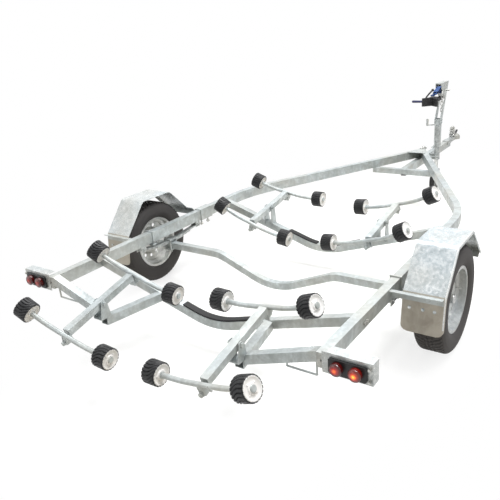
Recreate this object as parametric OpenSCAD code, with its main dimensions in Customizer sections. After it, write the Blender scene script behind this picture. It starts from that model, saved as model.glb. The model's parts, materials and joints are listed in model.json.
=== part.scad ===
// Single-axle boat trailer with sixteen keel rollers on rocking cradles.
// X runs forward to the coupling, Y to the trailer's left, Z up; the floor is z = 0.

/* [Overall] */
// Length from the rearmost rollers to the nose of the coupling
overall_l = 5560; // [5400:10:5800]
// Width over the mudguards
overall_w = 2440; // [2420:5:2460]

/* [Frame tubes] */
// Width of the main frame tube
rail_w = 50; // [46:1:54]
// Height of the main frame tube
rail_h = 75; // [70:1:80]
// Wall of the frame tubes
rail_t = 3; // [2:0.5:4]
// Height of the undersides of the side rails
rail_bottom = 395; // [391:1:401]
// Distance over the outer faces of the two side rails
frame_w = 1880; // [1870:2:1890]
// Station of the corner where the side rails turn inward
corner_x = 2090; // [2060:5:2120]
// Angle by which each side rail turns inward
arm_angle = 26; // [25:0.5:27]
// Centre line radius of that bend
arm_bend_r = 1000; // [900:20:1100]
// Side of the square tube of the crossmembers and outriggers
cross_s = 50; // [46:1:54]

/* [Wheels] */
// Radius of a tyre
tyre_r = 305; // [298:1:308]
// Width of a tyre
tyre_w = 175; // [165:1:180]
// Radius of the wheel rim at its flanges
rim_r = 190; // [184:1:194]
// Station of the axle
wheel_x = 1056; // [1046:1:1066]
// Drop of the middle of the axle below the hubs
axle_drop = 148; // [130:2:160]

/* [Rollers] */
// Radius of a keel roller
roller_r = 60; // [56:1:63]
// Width of a keel roller
roller_w = 80; // [74:1:84]
// Distance from the middle of a roller bar to the middle of its rollers
roller_reach = 282; // [276:1:288]
// Distance from a rocker's pivot to each of its roller bars
bar_reach = 276; // [270:1:280]
// Distance of each row of rockers from the centre line
rocker_y = 472; // [468:1:476]

/* [Nose] */
// Distance from the nose of the coupling to the middle of its ball socket
socket_back = 48; // [44:1:50]
// Radius of the ball socket, for a 50 mm towing ball
socket_r = 25.2; // [25.1:0.1:25.4]
// Height of the top of the winch post
post_top = 1075; // [1060:5:1090]
// Radius of the jockey wheel
jockey_r = 100; // [96:1:102]

/* [Hidden] */
CLUSTER_NAME = 0; CLUSTER_X = 1; CLUSTER_Z = 2; CLUSTER_PITCH = 3; CLUSTER_SLOPES = 4;
// Rockers: name, station of the pivot, height of the pivot, angle nose up, and the slopes at which
// the loose roller bars rest: left aft and fore, then right aft and fore
CLUSTERS = [
    ["rear", -12, 400, 14, [[17.5, 20.5], [12, 10.5]]],
    ["front", 1755, 438, 10, [[21, 11], [17, 16]]]
];
// Slope of one roller bar, rising outward
function bar_slope(side, c, end) = c[CLUSTER_SLOPES][side > 0 ? 0 : 1][end < 0 ? 0 : 1];
SIDE_NAME = 0; SIDE = 1;
SIDES = [["left", 1], ["right", -1]];
// Ends of a rocker, and ends of a roller bar
ENDS = [["aft", -1], ["fore", 1]];
REACHES = [["inner", -1], ["outer", 1]];

FRAME_NODES = [
    "left_side_rail", "right_side_rail", "left_front_rail", "right_front_rail", "drawbar",
    "rear_crossmember", "front_crossmember", "keel_pads", "rear_outriggers", "rocker_brackets",
    "axle", "mudguard_brackets", "light_brackets", "tail_lamps",
    "left_leaf_spring", "right_leaf_spring", "left_mudguard", "right_mudguard",
    "coupling", "safety_chain", "winch_post", "winch", "bow_stop", "jockey_clamp", "jockey_tube"
];
WHEEL_NODES = ["left_rim", "right_rim", "left_tyre", "right_tyre",
    "jockey_leg", "jockey_fork", "jockey_wheel"];
ROCKER_NODES = [for (s = SIDES, c = CLUSTERS) str(s[0], "_", c[0], "_rocker")];
BAR_NODES = [for (s = SIDES, c = CLUSTERS, e = ENDS) str(s[0], "_", c[0], "_", e[0], "_bar")];
ROLLER_NODES = [for (s = SIDES, c = CLUSTERS, e = ENDS, r = REACHES)
    str(s[0], "_", c[0], "_", e[0], "_", r[0], "_roller")];

GALVANISED = "silver";
RUBBER = "dimgray";
NYLON = "white";

// Clearances
pin_fit = 0.05;        // radial, round the turning pins
face_gap = 0.5;        // axial, beside a turning sleeve
lap = 2;               // overlap of a straight tube with the bend it runs into
bend_swell = 0.3;      // how much a bend stands proud of its straight tubes
$swell = 0;

// Side rails
rail_y = frame_w / 2 - rail_w / 2;
rail_top = rail_bottom + rail_h;
rail_mid = rail_top - rail_h / 2;
rail_split = 1470;     // station where the front rail enters the sleeve
sleeve_l = 140;
sleeve_t = 6;

// Roller cradles
rocker_w = 44;
rocker_h = 40;
pivot_d = 16;
bar_d = 27;
bar_bend = 12;
bar_mid_l = 130;       // half length of the straight middle of a roller bar
bar_knee_l = 50;       // straight between the two knees of each end
pin_drop = 42;         // from the rocker's centre line down to a roller bar's pin
pin_d = 16;
sleeve_d = 30;
lug_t = 8;
bar_gap = 8;           // from a roller bar to the end of the rocker
sleeve_half = 20;
collar_d = 36;
collar_t = 5;
cheek_gap = 6;         // between the rocker and each cheek of its bracket
cheek_t = 5;
cheek_half = 36;       // half length of a cheek's foot

rocker_half = bar_reach - bar_d / 2 - bar_gap;
roller_run = (roller_reach - bar_mid_l - bar_knee_l * cos(bar_bend / 2)) / cos(bar_bend);
roller_rise = bar_knee_l * sin(bar_bend / 2) + roller_run * sin(bar_bend);
roller_chamfer = 6;

// Reach of the rearmost rollers behind the rails: place and lean of their axle, then radius
aft = CLUSTERS[0];
aft_slope = bar_slope(1, aft, -1);
aft_z = roller_reach * sin(aft_slope) + (pin_drop + roller_rise) * cos(aft_slope) - pin_drop;
aft_lean = sin(aft_slope + bar_bend) * sin(aft[CLUSTER_PITCH]);
rear_reach = bar_reach * cos(aft[CLUSTER_PITCH]) + aft_z * sin(aft[CLUSTER_PITCH])
    + roller_r * sqrt(1 - aft_lean * aft_lean) + (roller_w / 2 - roller_chamfer) * aft_lean
    - aft[CLUSTER_X];
rail_end_x = -overall_l / 2 + rear_reach;

// Axle and wheels
hub_z = tyre_r;
axle_s = 45;
spindle_r = 17.5;
guard_w = 220;
guard_y = overall_w / 2 - guard_w;
tyre_gap = 10;          // from the tyre's outer wall to the mudguard's outer edge
wheel_y = overall_w / 2 - tyre_gap - tyre_w / 2;
axle_end_y = 972;

// Places and joins
module station(x) translate([rail_end_x + x, 0, 0]) children();
module sided(side) mirror([0, side < 0 ? 1 : 0, 0]) children();

// Hollow section: across along the first axis, tall along the second
module tube_section(across, tall, wall) {
    difference() {
        bar_section(across, tall);
        square([across - 2 * wall - 2 * $swell, tall - 2 * wall - 2 * $swell], center = true);
    }
}

// Solid section of the same kind
module bar_section(across, tall) square([across + 2 * $swell, tall + 2 * $swell], center = true);

// Straight length along +X of the section given as children (across = Y, tall = Z)
module run_x(l) rotate([90, 0, 90]) linear_extrude(l) children();

// Bend from +X up towards +Z about a centre r above; children give the section
module bend_up(r, angle) {
    translate([0, 0, r]) rotate([90, 90, 0])
        rotate_extrude(angle = angle, $fn = 96) translate([r, 0]) rotate(90) children();
}

// Tube along a list of steps: [length, 0] runs straight, [radius, angle] bends up or down
module tube_path(steps, i = 0) {
    if (i < len(steps)) {
        size = steps[i][0];
        angle = steps[i][1];
        if (angle == 0) {
            translate([-lap, 0, 0]) run_x(size + 2 * lap) children();
            translate([size, 0, 0]) tube_path(steps, i + 1) children();
        } else {
            way = angle > 0 ? 1 : -1;
            mirror([0, 0, way < 0 ? 1 : 0]) bend_up(size, abs(angle), $swell = bend_swell) children();
            translate([size * sin(abs(angle)), 0, way * size * (1 - cos(angle))])
                rotate([0, -angle, 0]) tube_path(steps, i + 1) children();
        }
    }
}

// ---- Frame -------------------------------------------------------------

module side_rail(side) {
    color(GALVANISED) station(0) sided(side) translate([0, rail_y, rail_mid]) {
        run_x(rail_split) tube_section(rail_w, rail_h, rail_t);
        translate([rail_split - sleeve_l / 2, 0, 0]) {
            run_x(sleeve_l) tube_section(rail_w + 2 * sleeve_t, rail_h + 2 * sleeve_t, sleeve_t);
            for (x = [30, sleeve_l - 30])
                translate([x, 0, -rail_h / 2 - sleeve_t - 34]) cylinder(d = 12, h = 36, $fn = 24);
        }
    }
}

arm_tangent = arm_bend_r * tan(arm_angle / 2);
arm_l = (rail_y + 120) / sin(arm_angle);
apex_x = corner_x + rail_y / tan(arm_angle);

module front_rail(side) {
    color(GALVANISED) station(0) sided(side) intersection() {
        translate([rail_split, rail_y, rail_mid]) rotate([90, 0, 0])
            tube_path([[corner_x - arm_tangent - rail_split, 0], [arm_bend_r, arm_angle], [arm_l, 0]])
                tube_section(rail_h, rail_w, rail_t);
        translate([rail_split, 0, rail_bottom]) cube([apex_x + 10 - rail_split, frame_w, rail_h]);
    }
}

draw_top = rail_bottom;
draw_mid = draw_top - rail_h / 2;
crossbar_x = 3390;
draw_end_x = overall_l - rear_reach - 330;

module drawbar() {
    half = rail_y - (crossbar_x - corner_x) * tan(arm_angle);
    lean = cross_s * tan(arm_angle) / 2;
    color(GALVANISED) station(0) {
        translate([crossbar_x + cross_s / 2, 0, draw_mid])
            run_x(draw_end_x - crossbar_x - cross_s / 2) tube_section(rail_w, rail_h, rail_t);
        translate([crossbar_x, 0, draw_top - cross_s]) linear_extrude(cross_s)
            polygon([[-cross_s / 2, -half - lean], [cross_s / 2, -half + lean],
                [cross_s / 2, half - lean], [-cross_s / 2, half + lean]]);
        translate([apex_x - 150, 0, rail_top]) linear_extrude(6)
            polygon([[-60, -95], [150, -20], [150, 20], [-60, 95]]);
    }
}

// Bowed bar: two straight slopes joined by a round belly, of the section given as children
module bowed_bar(half, slope, r) {
    straight = half / cos(slope) - r * tan(slope);
    rise = r * (1 / cos(slope) - 1);
    translate([0, 0, rise]) for (way = [1, -1]) sided(way)
        rotate([0, 0, 90]) tube_path([[r, slope], [straight + cross_s, 0]]) children();
}

CROSS_X = 0; CROSS_TOP = 1; CROSS_SLOPE = 2;
// Crossmembers: station, height of the top face at the rails, slope
CROSSMEMBERS = [[400, 455, 16], [1755, 460, 18]];
belly_r = 500;
cross_reach = rail_y - rail_w / 2;
// Height of the point where the two slopes would meet
function cross_low(c) = c[CROSS_TOP] - cross_s / 2 / cos(c[CROSS_SLOPE])
    - cross_reach * tan(c[CROSS_SLOPE]);

module crossmember(c) {
    color(GALVANISED) station(c[CROSS_X]) intersection() {
        translate([0, 0, cross_low(c)]) bowed_bar(cross_reach, c[CROSS_SLOPE], belly_r)
            bar_section(cross_s, cross_s);
        cube([200, 2 * cross_reach, 2000], center = true);
    }
}

PAD_CROSS = 0; PAD_FROM = 1; PAD_TO = 2;
// Rubber keel pads: which crossmember, and how far left they run from and to
PADS = [[0, -255, 215], [1, 50, 290], [1, -290, -100]];
pad_t = 10;
pad_w = 44;
pad_seat = 0.2;        // between a pad and the bend it lies on

module keel_pads() {
    color(RUBBER) for (p = PADS) {
        c = CROSSMEMBERS[p[PAD_CROSS]];
        station(c[CROSS_X]) intersection() {
            translate([0, 0, cross_low(c)]) bowed_bar(cross_reach, c[CROSS_SLOPE], belly_r)
                translate([0, cross_s / 2 + 2 * bend_swell + pad_seat + pad_t / 2]) bar_section(pad_w, pad_t);
            translate([-100, p[PAD_FROM], 0]) cube([200, p[PAD_TO] - p[PAD_FROM], 1000]);
        }
    }
}

stub_x = cross_s / 2;
stub_slope = 19;
stub_top = 472;
brace_top = 312;
brace_front_y = 398;
handle_r = 5;

// Stub sloping down from the side rail to the brace
module outrigger_stub() intersection() {
    reach = cross_reach - rocker_y;
    over = 60;
    translate([stub_x, cross_reach, stub_top - cross_s / 2 / cos(stub_slope)])
        rotate([0, 0, -90]) rotate([0, stub_slope, 0]) translate([-over, 0, 0])
            run_x(reach / cos(stub_slope) + over) bar_section(cross_s, cross_s);
    translate([0, rocker_y + cross_s / 2, 0]) cube([cross_s, reach - cross_s / 2, 2 * rail_top]);
}

module outrigger() {
    brace_l = CROSSMEMBERS[0][CROSS_X] - cross_s / 2;
    turn = atan((rocker_y - brace_front_y) / brace_l);
    brace_mid = brace_top - cross_s / 2;
    outrigger_stub();
    // Brace running forward to the rear crossmember
    intersection() {
        translate([0, rocker_y, brace_mid]) rotate([0, 0, -turn]) translate([-20, 0, 0])
            run_x(brace_l + 40) tube_section(cross_s, cross_s, rail_t);
        translate([-4, 0, 0]) cube([brace_l + 4, 2000, 2000]);
    }
    // Tie-down handle of bent rod under the stub
    translate([stub_x, 0, 335]) {
        translate([0, 725, 0]) rotate([-90, 0, 0]) cylinder(r = handle_r, h = 155, $fn = 24);
        translate([0, 725, 0]) cylinder(r = handle_r, h = 40, $fn = 24);
        translate([0, 880, 0]) cylinder(r = handle_r, h = 92, $fn = 24);
    }
}

module rear_outriggers()
    color(GALVANISED) station(0) for (side = [1, -1]) sided(side) outrigger();

// ---- Rocking roller cradles -------------------------------------------------

// Frame of one rocker: origin on its pivot, X along the rocker
module cluster(side, c) {
    station(c[CLUSTER_X]) sided(side) translate([0, rocker_y, c[CLUSTER_Z]])
        rotate([0, -c[CLUSTER_PITCH], 0]) children();
}

// Frame of one roller bar: origin on its pin, Y along the bar
module bar_place(side, c, end)
    cluster(side, c) translate([end * bar_reach, 0, -pin_drop])
        rotate([bar_slope(side, c, end), 0, 0]) children();

module rocker(side, c) {
    color(GALVANISED) cluster(side, c) difference() {
        union() {
            translate([-rocker_half, 0, 0]) run_x(2 * rocker_half)
                tube_section(rocker_w, rocker_h, rail_t);
            rotate([90, 0, 0])
                cylinder(d = 30, h = rocker_w + 2 * cheek_gap - 2 * face_gap, center = true, $fn = 48);
            for (end = [1, -1]) mirror([end < 0 ? 1 : 0, 0, 0]) {
                inner = bar_reach - sleeve_half - face_gap;
                translate([inner - lug_t, -rocker_w / 2, -pin_drop - 18])
                    cube([lug_t, rocker_w, pin_drop + 18 - rocker_h / 2 + 6]);
                translate([inner - 1, 0, -pin_drop]) rotate([0, 90, 0])
                    cylinder(d = pin_d, h = 2 * sleeve_half + 2 * face_gap + 12, $fn = 48);
                translate([inner + 2 * sleeve_half + 2 * face_gap, 0, -pin_drop])
                    rotate([0, 90, 0]) cylinder(d = 26, h = 9, $fn = 6);
            }
        }
        rotate([90, 0, 0]) cylinder(d = pivot_d + 2 * pin_fit, h = 200, center = true, $fn = 48);
    }
}

// One of the two knees at each end of a roller bar
module bar_knee() {
    sphere(d = bar_d + 1, $fn = 48);
    rotate([bar_bend / 2, 0, 0]) children();
}

module roller_bar(side, c, end) {
    stub = roller_w / 2 + 7;
    color(GALVANISED) bar_place(side, c, end) {
        difference() {
            union() {
                rotate([0, 90, 0]) cylinder(d = sleeve_d, h = 2 * sleeve_half, center = true, $fn = 48);
                translate([-sleeve_half + 4, -11, 8]) cube([2 * sleeve_half - 8, 22, pin_drop - 14]);
            }
            rotate([0, 90, 0])
                cylinder(d = pin_d + 2 * pin_fit, h = 3 * sleeve_half, center = true, $fn = 48);
        }
        translate([0, 0, pin_drop]) for (way = [1, -1]) sided(way) rotate([-90, 0, 0]) {
            cylinder(d = bar_d, h = bar_mid_l, $fn = 48);
            translate([0, 0, bar_mid_l]) bar_knee() {
                cylinder(d = bar_d, h = bar_knee_l, $fn = 48);
                translate([0, 0, bar_knee_l]) bar_knee()
                    cylinder(d = bar_d, h = roller_run + stub, $fn = 48);
            }
        }
        for (way = [1, -1]) roller_place(way) {
            // Collar inboard and washer outboard of the roller
            for (y = [-roller_w / 2 - face_gap - collar_t, roller_w / 2 + face_gap])
                translate([0, y, 0]) rotate([-90, 0, 0]) cylinder(d = collar_d, h = collar_t, $fn = 48);
        }
    }
}

// Frame of a roller in its bar's frame: Y along its axle, outward
module roller_place(way) {
    sided(way) translate([0, roller_reach, pin_drop + roller_rise]) rotate([bar_bend, 0, 0]) children();
}

module roller(side, c, end, way) {
    chamfer = roller_chamfer;
    color(RUBBER) bar_place(side, c, end) roller_place(way) rotate([90, 0, 0])
        rotate_extrude($fn = 96) polygon([
            [bar_d / 2 + pin_fit, -roller_w / 2], [roller_r - chamfer, -roller_w / 2],
            [roller_r, -roller_w / 2 + chamfer], [roller_r, roller_w / 2 - chamfer],
            [roller_r - chamfer, roller_w / 2], [bar_d / 2 + pin_fit, roller_w / 2]]);
}

// Two cheeks carrying a rocker's pivot, rise above what they stand on and reaching depth below it
module rocker_cheeks(side, c, rise, depth) {
    inside = rocker_w / 2 + cheek_gap;
    station(c[CLUSTER_X]) sided(side) translate([0, rocker_y, c[CLUSTER_Z]]) {
        for (y = [-inside - cheek_t, inside]) translate([0, y + cheek_t, 0]) rotate([90, 0, 0])
            linear_extrude(cheek_t) union() {
                polygon([[-22, 0], [22, 0], [cheek_half, -rise + 10], [cheek_half, -rise - depth],
                    [-cheek_half, -rise - depth], [-cheek_half, -rise + 10]]);
                circle(r = 22, $fn = 48);
            }
        rotate([90, 0, 0]) cylinder(d = pivot_d, h = 2 * inside + 2 * cheek_t + 16, center = true, $fn = 48);
        for (y = [-inside - cheek_t - 9, inside + cheek_t]) translate([0, y + 9, 0]) rotate([90, 0, 0])
            cylinder(d = 27, h = 9, $fn = 6);
    }
}

module rocker_brackets() {
    rear = CLUSTERS[0];
    front = CROSSMEMBERS[1];
    front_top = front[CROSS_TOP] - (cross_reach - rocker_y) * tan(front[CROSS_SLOPE]);
    width = rocker_w + 2 * cheek_gap + 2 * cheek_t;
    color(GALVANISED) for (side = [1, -1]) {
        // The rear pair stands on the outriggers by a foot plate, notched round the stub
        difference() {
            union() {
                rocker_cheeks(side, rear, rear[CLUSTER_Z] - brace_top, 0);
                station(rear[CLUSTER_X] - cheek_half) sided(side)
                    translate([0, rocker_y - width / 2, brace_top]) cube([2 * cheek_half, width, cheek_t]);
            }
            station(0) sided(side) outrigger_stub();
        }
        // The front pair straddles the crossmember
        difference() {
            rocker_cheeks(side, CLUSTERS[1], CLUSTERS[1][CLUSTER_Z] - front_top, 24);
            crossmember(front);
        }
    }
}

// ---- Axle, springs and wheels -------------------------------------------------

axle_slope = 22;
axle_r1 = 250;
axle_r2 = 420;
axle_run = (axle_drop - (axle_r1 + axle_r2) * (1 - cos(axle_slope))) / sin(axle_slope);
axle_belly = (axle_r1 + axle_r2) * sin(axle_slope) + axle_run * cos(axle_slope);

module axle() {
    color(GALVANISED) station(wheel_x) translate([0, 0, hub_z]) {
        for (side = [1, -1]) sided(side) {
            translate([0, 0, -axle_drop]) rotate([0, 0, 90])
                tube_path([[axle_r2, axle_slope], [axle_run, 0], [axle_r1, -axle_slope],
                    [axle_end_y - axle_belly, 0]]) bar_section(axle_s, axle_s);
            rotate([-90, 0, 0]) {
                translate([0, 0, axle_end_y - 12]) cylinder(d = 60, h = 14, $fn = 64);
                translate([0, 0, axle_end_y]) cylinder(r = spindle_r, h = wheel_y - axle_end_y - 15, $fn = 64);
            }
        }
    }
}

spring_half = 300;
spring_sag = 26;
leaf_w = 40;
leaf_t = 7;
leaf_n = 3;
leaf_bite = 0.2;       // how far each leaf is pressed into the one above
spring_r = (spring_half * spring_half + spring_sag * spring_sag) / (2 * spring_sag);
seat_z = hub_z + axle_s / 2;
main_z = seat_z + leaf_n * leaf_t - (leaf_n - 1) * leaf_bite;
eye_r = 14;
eye_z = main_z + spring_sag + eye_r - leaf_t - 4;

// One leaf's side, about the centre of its curve
module leaf_2d(radius, reach) intersection() {
    difference() {
        circle(r = radius + leaf_t, $fn = 720);
        circle(r = radius, $fn = 720);
    }
    polygon([[0, 0], [-2 * radius * tan(reach), -2 * radius], [2 * radius * tan(reach), -2 * radius]]);
}

module leaf_spring(side) {
    color(GALVANISED) station(wheel_x) sided(side) translate([0, rail_y, 0]) {
        translate([0, leaf_w / 2, 0]) rotate([90, 0, 0]) linear_extrude(leaf_w) {
            for (i = [0 : leaf_n - 1]) translate([0, main_z + spring_r]) leaf_2d(
                spring_r + (leaf_n - 1 - i) * (leaf_t - leaf_bite),
                asin(spring_half / spring_r) * (i + 1.2) / (leaf_n + 0.2));
            for (x = [-spring_half, spring_half]) translate([x, eye_z]) circle(r = eye_r, $fn = 48);
        }
        for (x = [-spring_half, spring_half]) {
            translate([x, 0, eye_z]) rotate([90, 0, 0])
                cylinder(d = 14, h = leaf_w + 22, center = true, $fn = 32);
            for (y = [-leaf_w / 2 - 5, leaf_w / 2]) translate([x - 24, y, eye_z - 22])
                cube([48, 5, rail_bottom - eye_z + 22]);
        }
        // U-bolts round the axle and the plate below it
        for (x = [-axle_s / 2 - 7, axle_s / 2 + 7]) for (y = [-leaf_w / 2 - 7, leaf_w / 2 + 7])
            translate([x, y, hub_z - axle_s / 2 - 22]) cylinder(d = 12, h = axle_s + 22 + 30, $fn = 24);
        translate([0, 0, main_z + 3]) cube([axle_s + 28, leaf_w + 28, 8], center = true);
        translate([0, 0, hub_z - axle_s / 2 - 4]) cube([axle_s + 34, leaf_w + 34, 8], center = true);
    }
}

module wheel_place(side)
    station(wheel_x) sided(side) translate([0, wheel_y, hub_z]) rotate([-90, 0, 0]) children();

rim_half = 70;
rim_t = 5;
seat_r = rim_r - 13;
well_r = rim_r - 32;
slots = 12;

module rim(side) {
    color(GALVANISED) wheel_place(side) {
        // Rolled barrel: flange, bead seat and well
        rotate_extrude($fn = 128) polygon([
            [rim_r, -rim_half], [rim_r, -rim_half + rim_t], [seat_r, -rim_half + rim_t],
            [seat_r, -26], [well_r, -14], [well_r, 14], [seat_r, 26],
            [seat_r, rim_half - rim_t], [rim_r, rim_half - rim_t], [rim_r, rim_half],
            [seat_r - rim_t, rim_half], [seat_r - rim_t, 30], [well_r - rim_t, 18],
            [well_r - rim_t, -18], [seat_r - rim_t, -30], [seat_r - rim_t, -rim_half]]);
        // Slotted disc
        difference() {
            rotate_extrude($fn = 128) polygon([[20, 4], [86, 4], [104, 22], [132, 22], [well_r - 2, 8],
                [well_r - 2, 3], [130, 16], [106, 16], [88, -3], [20, -3]]);
            for (i = [0 : slots - 1]) rotate([0, 0, i * 360 / slots])
                translate([122, 0, 0]) cylinder(d = 26, h = 60, center = true, $fn = 32);
        }
        // Hub with a blind bore over the spindle
        difference() {
            union() {
                translate([0, 0, -108]) cylinder(d = 84, h = 108, $fn = 96);
                translate([0, 0, -14]) cylinder(d = 150, h = 11, $fn = 96);
                cylinder(d = 62, h = 34, $fn = 96);
            }
            translate([0, 0, -120]) cylinder(r = spindle_r + pin_fit, h = 120 - 12, $fn = 96);
        }
        for (i = [0 : 4]) rotate([0, 0, i * 72]) translate([56, 0, 3]) cylinder(d = 19, h = 14, $fn = 6);
    }
}

module tyre(side) {
    half = tyre_w / 2;
    bead = rim_half - rim_t;
    wall = tyre_r - rim_r;
    color(RUBBER) wheel_place(side) rotate_extrude($fn = 160) polygon([
        [seat_r, -bead], [rim_r, -bead], [rim_r + 6, -bead - 8], [rim_r + 0.43 * wall, -half],
        [tyre_r - 0.28 * wall, -half + 4], [tyre_r - 0.09 * wall, -half + 14], [tyre_r, -half + 30],
        [tyre_r, half - 30], [tyre_r - 0.09 * wall, half - 14], [tyre_r - 0.28 * wall, half - 4],
        [rim_r + 0.43 * wall, half], [rim_r + 6, bead + 8], [rim_r, bead], [seat_r, bead],
        [seat_r, bead - 14], [rim_r + 20, half - 18], [tyre_r - 14, half - 30],
        [tyre_r - 14, -half + 30], [rim_r + 20, -half + 18], [seat_r, -bead + 14]]);
}

// ---- Mudguards and lights -------------------------------------------------

guard_t = 3;
lip_depth = 18;
lip_w = 8;
// Folded outline of a mudguard, rear flap to front: station from the wheel, height
GUARD = [[-352, 250], [-326, 458], [-141, 670], [141, 668], [339, 472]];

// Unit normal of the edge from a to b, to its right
function edge_normal(a, b) = [b[1] - a[1], a[0] - b[0]] / norm(b - a);
// The outline moved sideways by d, with mitred corners
function moved(path, d) = [for (i = [0 : len(path) - 1])
    let (a = edge_normal(path[max(i - 1, 0)], path[max(i, 1)]),
        b = edge_normal(path[min(i, len(path) - 2)], path[min(i + 1, len(path) - 1)]),
        m = (a + b) / norm(a + b))
    path[i] + m * d / (m * a)];
function reversed(path) = [for (i = [len(path) - 1 : -1 : 0]) path[i]];
module sheet_2d(path, t) polygon(concat(path, reversed(moved(path, t))));

module mudguard(side) {
    color(GALVANISED) station(wheel_x) sided(side) translate([0, guard_y + guard_w, 0]) rotate([90, 0, 0]) {
        linear_extrude(guard_w) sheet_2d(GUARD, guard_t);
        linear_extrude(lip_w) sheet_2d(GUARD, lip_depth);
    }
}

angle_s = 38;
angle_t = 4;
angle_seat = 0.2;      // between an angle iron and the sheet

// Frame on the mudguard's fold i: X along the edge that ends there, Z away from the wheel
module guard_fold(i) {
    edge = GUARD[i] - GUARD[i - 1];
    translate([GUARD[i][0], 0, GUARD[i][1]]) rotate([0, -atan2(edge[1], edge[0]), 0]) children();
}

// Angle iron ending at a fold: one leg flat on the sheet, the other standing off it
module angle_iron(l) translate([-angle_s, 0, angle_seat]) {
    cube([angle_s, l, angle_t]);
    translate([angle_s - angle_t, 0, 0]) cube([angle_t, l, angle_s]);
}

module mudguard_brackets() {
    from_y = rail_y + rail_w / 2;
    iron_l = guard_y + guard_w - from_y - lip_w - face_gap;
    color(GALVANISED) station(wheel_x) for (side = [1, -1]) sided(side) {
        guard_fold(1) translate([0, from_y, 0]) angle_iron(iron_l);
        guard_fold(4) translate([0, from_y, -guard_t]) mirror([0, 0, 1]) angle_iron(iron_l);
        // U-bolt over the rail
        translate([-ubolt_x, rail_y, rail_bottom - ubolt_drop]) {
            for (y = [-rail_w / 2 - ubolt_r, rail_w / 2 + ubolt_r]) translate([0, y, 0])
                cylinder(r = ubolt_r, h = rail_h + ubolt_drop + ubolt_r, $fn = 24);
            translate([0, 0, rail_h + ubolt_drop + ubolt_r]) rotate([90, 0, 0])
                cylinder(r = ubolt_r, h = rail_w + 4 * ubolt_r, center = true, $fn = 24);
            translate([-18, -rail_w / 2 - 18, 2]) cube([36, rail_w + 36, 8]);
        }
    }
}

ubolt_x = 200;
ubolt_r = 5;
ubolt_drop = 18;

light_lap = 20;        // how far the light plate covers the end of the side rail
light_y = rail_y + rail_w / 2 - light_lap;
light_w = 214 + light_lap;
light_h = 104;
light_t = 3;
light_x = -light_t;

module light_brackets() {
    color(GALVANISED) station(light_x) for (side = [1, -1]) sided(side)
        translate([0, light_y, rail_top - light_h + 14]) {
            cube([light_t, light_w, light_h]);
            translate([0, light_lap, light_h - light_t]) cube([58, light_w - light_lap, light_t]);
            translate([0, light_w - light_t, 0]) cube([58, light_t, light_h]);
        }
}

lamp_z = 428;
lens_r = 30;

module tail_lamps() {
    color("darkred") station(light_x) for (side = [1, -1]) sided(side)
        translate([0, light_y + light_lap + 14, lamp_z]) {
            translate([-12, 0, -38]) cube([12, 176, 76]);
            for (y = [44, 130]) translate([-12, y, 0]) rotate([0, -90, 0])
                rotate_extrude($fn = 64) polygon([[0, 0], [lens_r, 0], [lens_r, 16], [lens_r - 8, 26], [0, 30]]);
        }
}

// ---- Nose: coupling, winch post and jockey -------------------------------------

nose_st = overall_l - rear_reach;       // station of the coupling's nose
socket_st = nose_st - socket_back;
socket_z = draw_mid + 22;
neck_rise = 4;         // top of the coupling's neck above the drawbar

module coupling() {
    color(GALVANISED) station(0) translate([0, 0, draw_top]) difference() {
        union() {
            // Saddle over the drawbar, neck and rounded head
            translate([draw_end_x - 130, -rail_w / 2 - 6, -40]) cube([130, rail_w + 12, 46]);
            translate([draw_end_x - 2, 0, neck_rise - 38]) linear_extrude(38) polygon([[0, -28],
                [socket_st - draw_end_x - 20, -24], [socket_st - draw_end_x - 20, 24], [0, 28]]);
            translate([socket_st, 0, 0]) rotate_extrude($fn = 96) polygon([[0, 14], [28, 12],
                [socket_back - 5, -2], [socket_back, -12], [socket_back, -46], [0, -46]]);
            // Hand lever over the head
            translate([socket_st - 100, -9, 2]) cube([110, 18, 20]);
            translate([socket_st - 14, -9, 12]) rotate([0, -30, 0]) cube([62, 18, 12]);
        }
        translate([draw_end_x - 200, -rail_w / 2, -rail_h]) cube([200, rail_w, rail_h]);
        translate([socket_st, 0, socket_z - draw_top]) rotate_extrude($fn = 96)
            polygon([[0, -80], [socket_r, -80], [socket_r, 0], [socket_r * 0.7, socket_r * 0.7],
                [0, socket_r]]);
    }
}

chain_back = 150;      // from the ball socket back to the middle of the heaped chain

// Outer shape of the heaped safety chain
module safety_chain() {
    color("gray") station(socket_st - chain_back) translate([0, 0, draw_top + neck_rise])
        rotate_extrude($fn = 64) polygon([[0, 0], [23, 0], [42, 30], [44, 70], [30, 110], [12, 126], [0, 126]]);
}

post_x = 4445;
post_l = 80;
post_w = 50;
post_joint = 700;
post_lean = 23;
bridge_from = -50;     // from the post's middle back to the bridge over the winch
bridge_l = 230;
bridge_t = 8;

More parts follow.
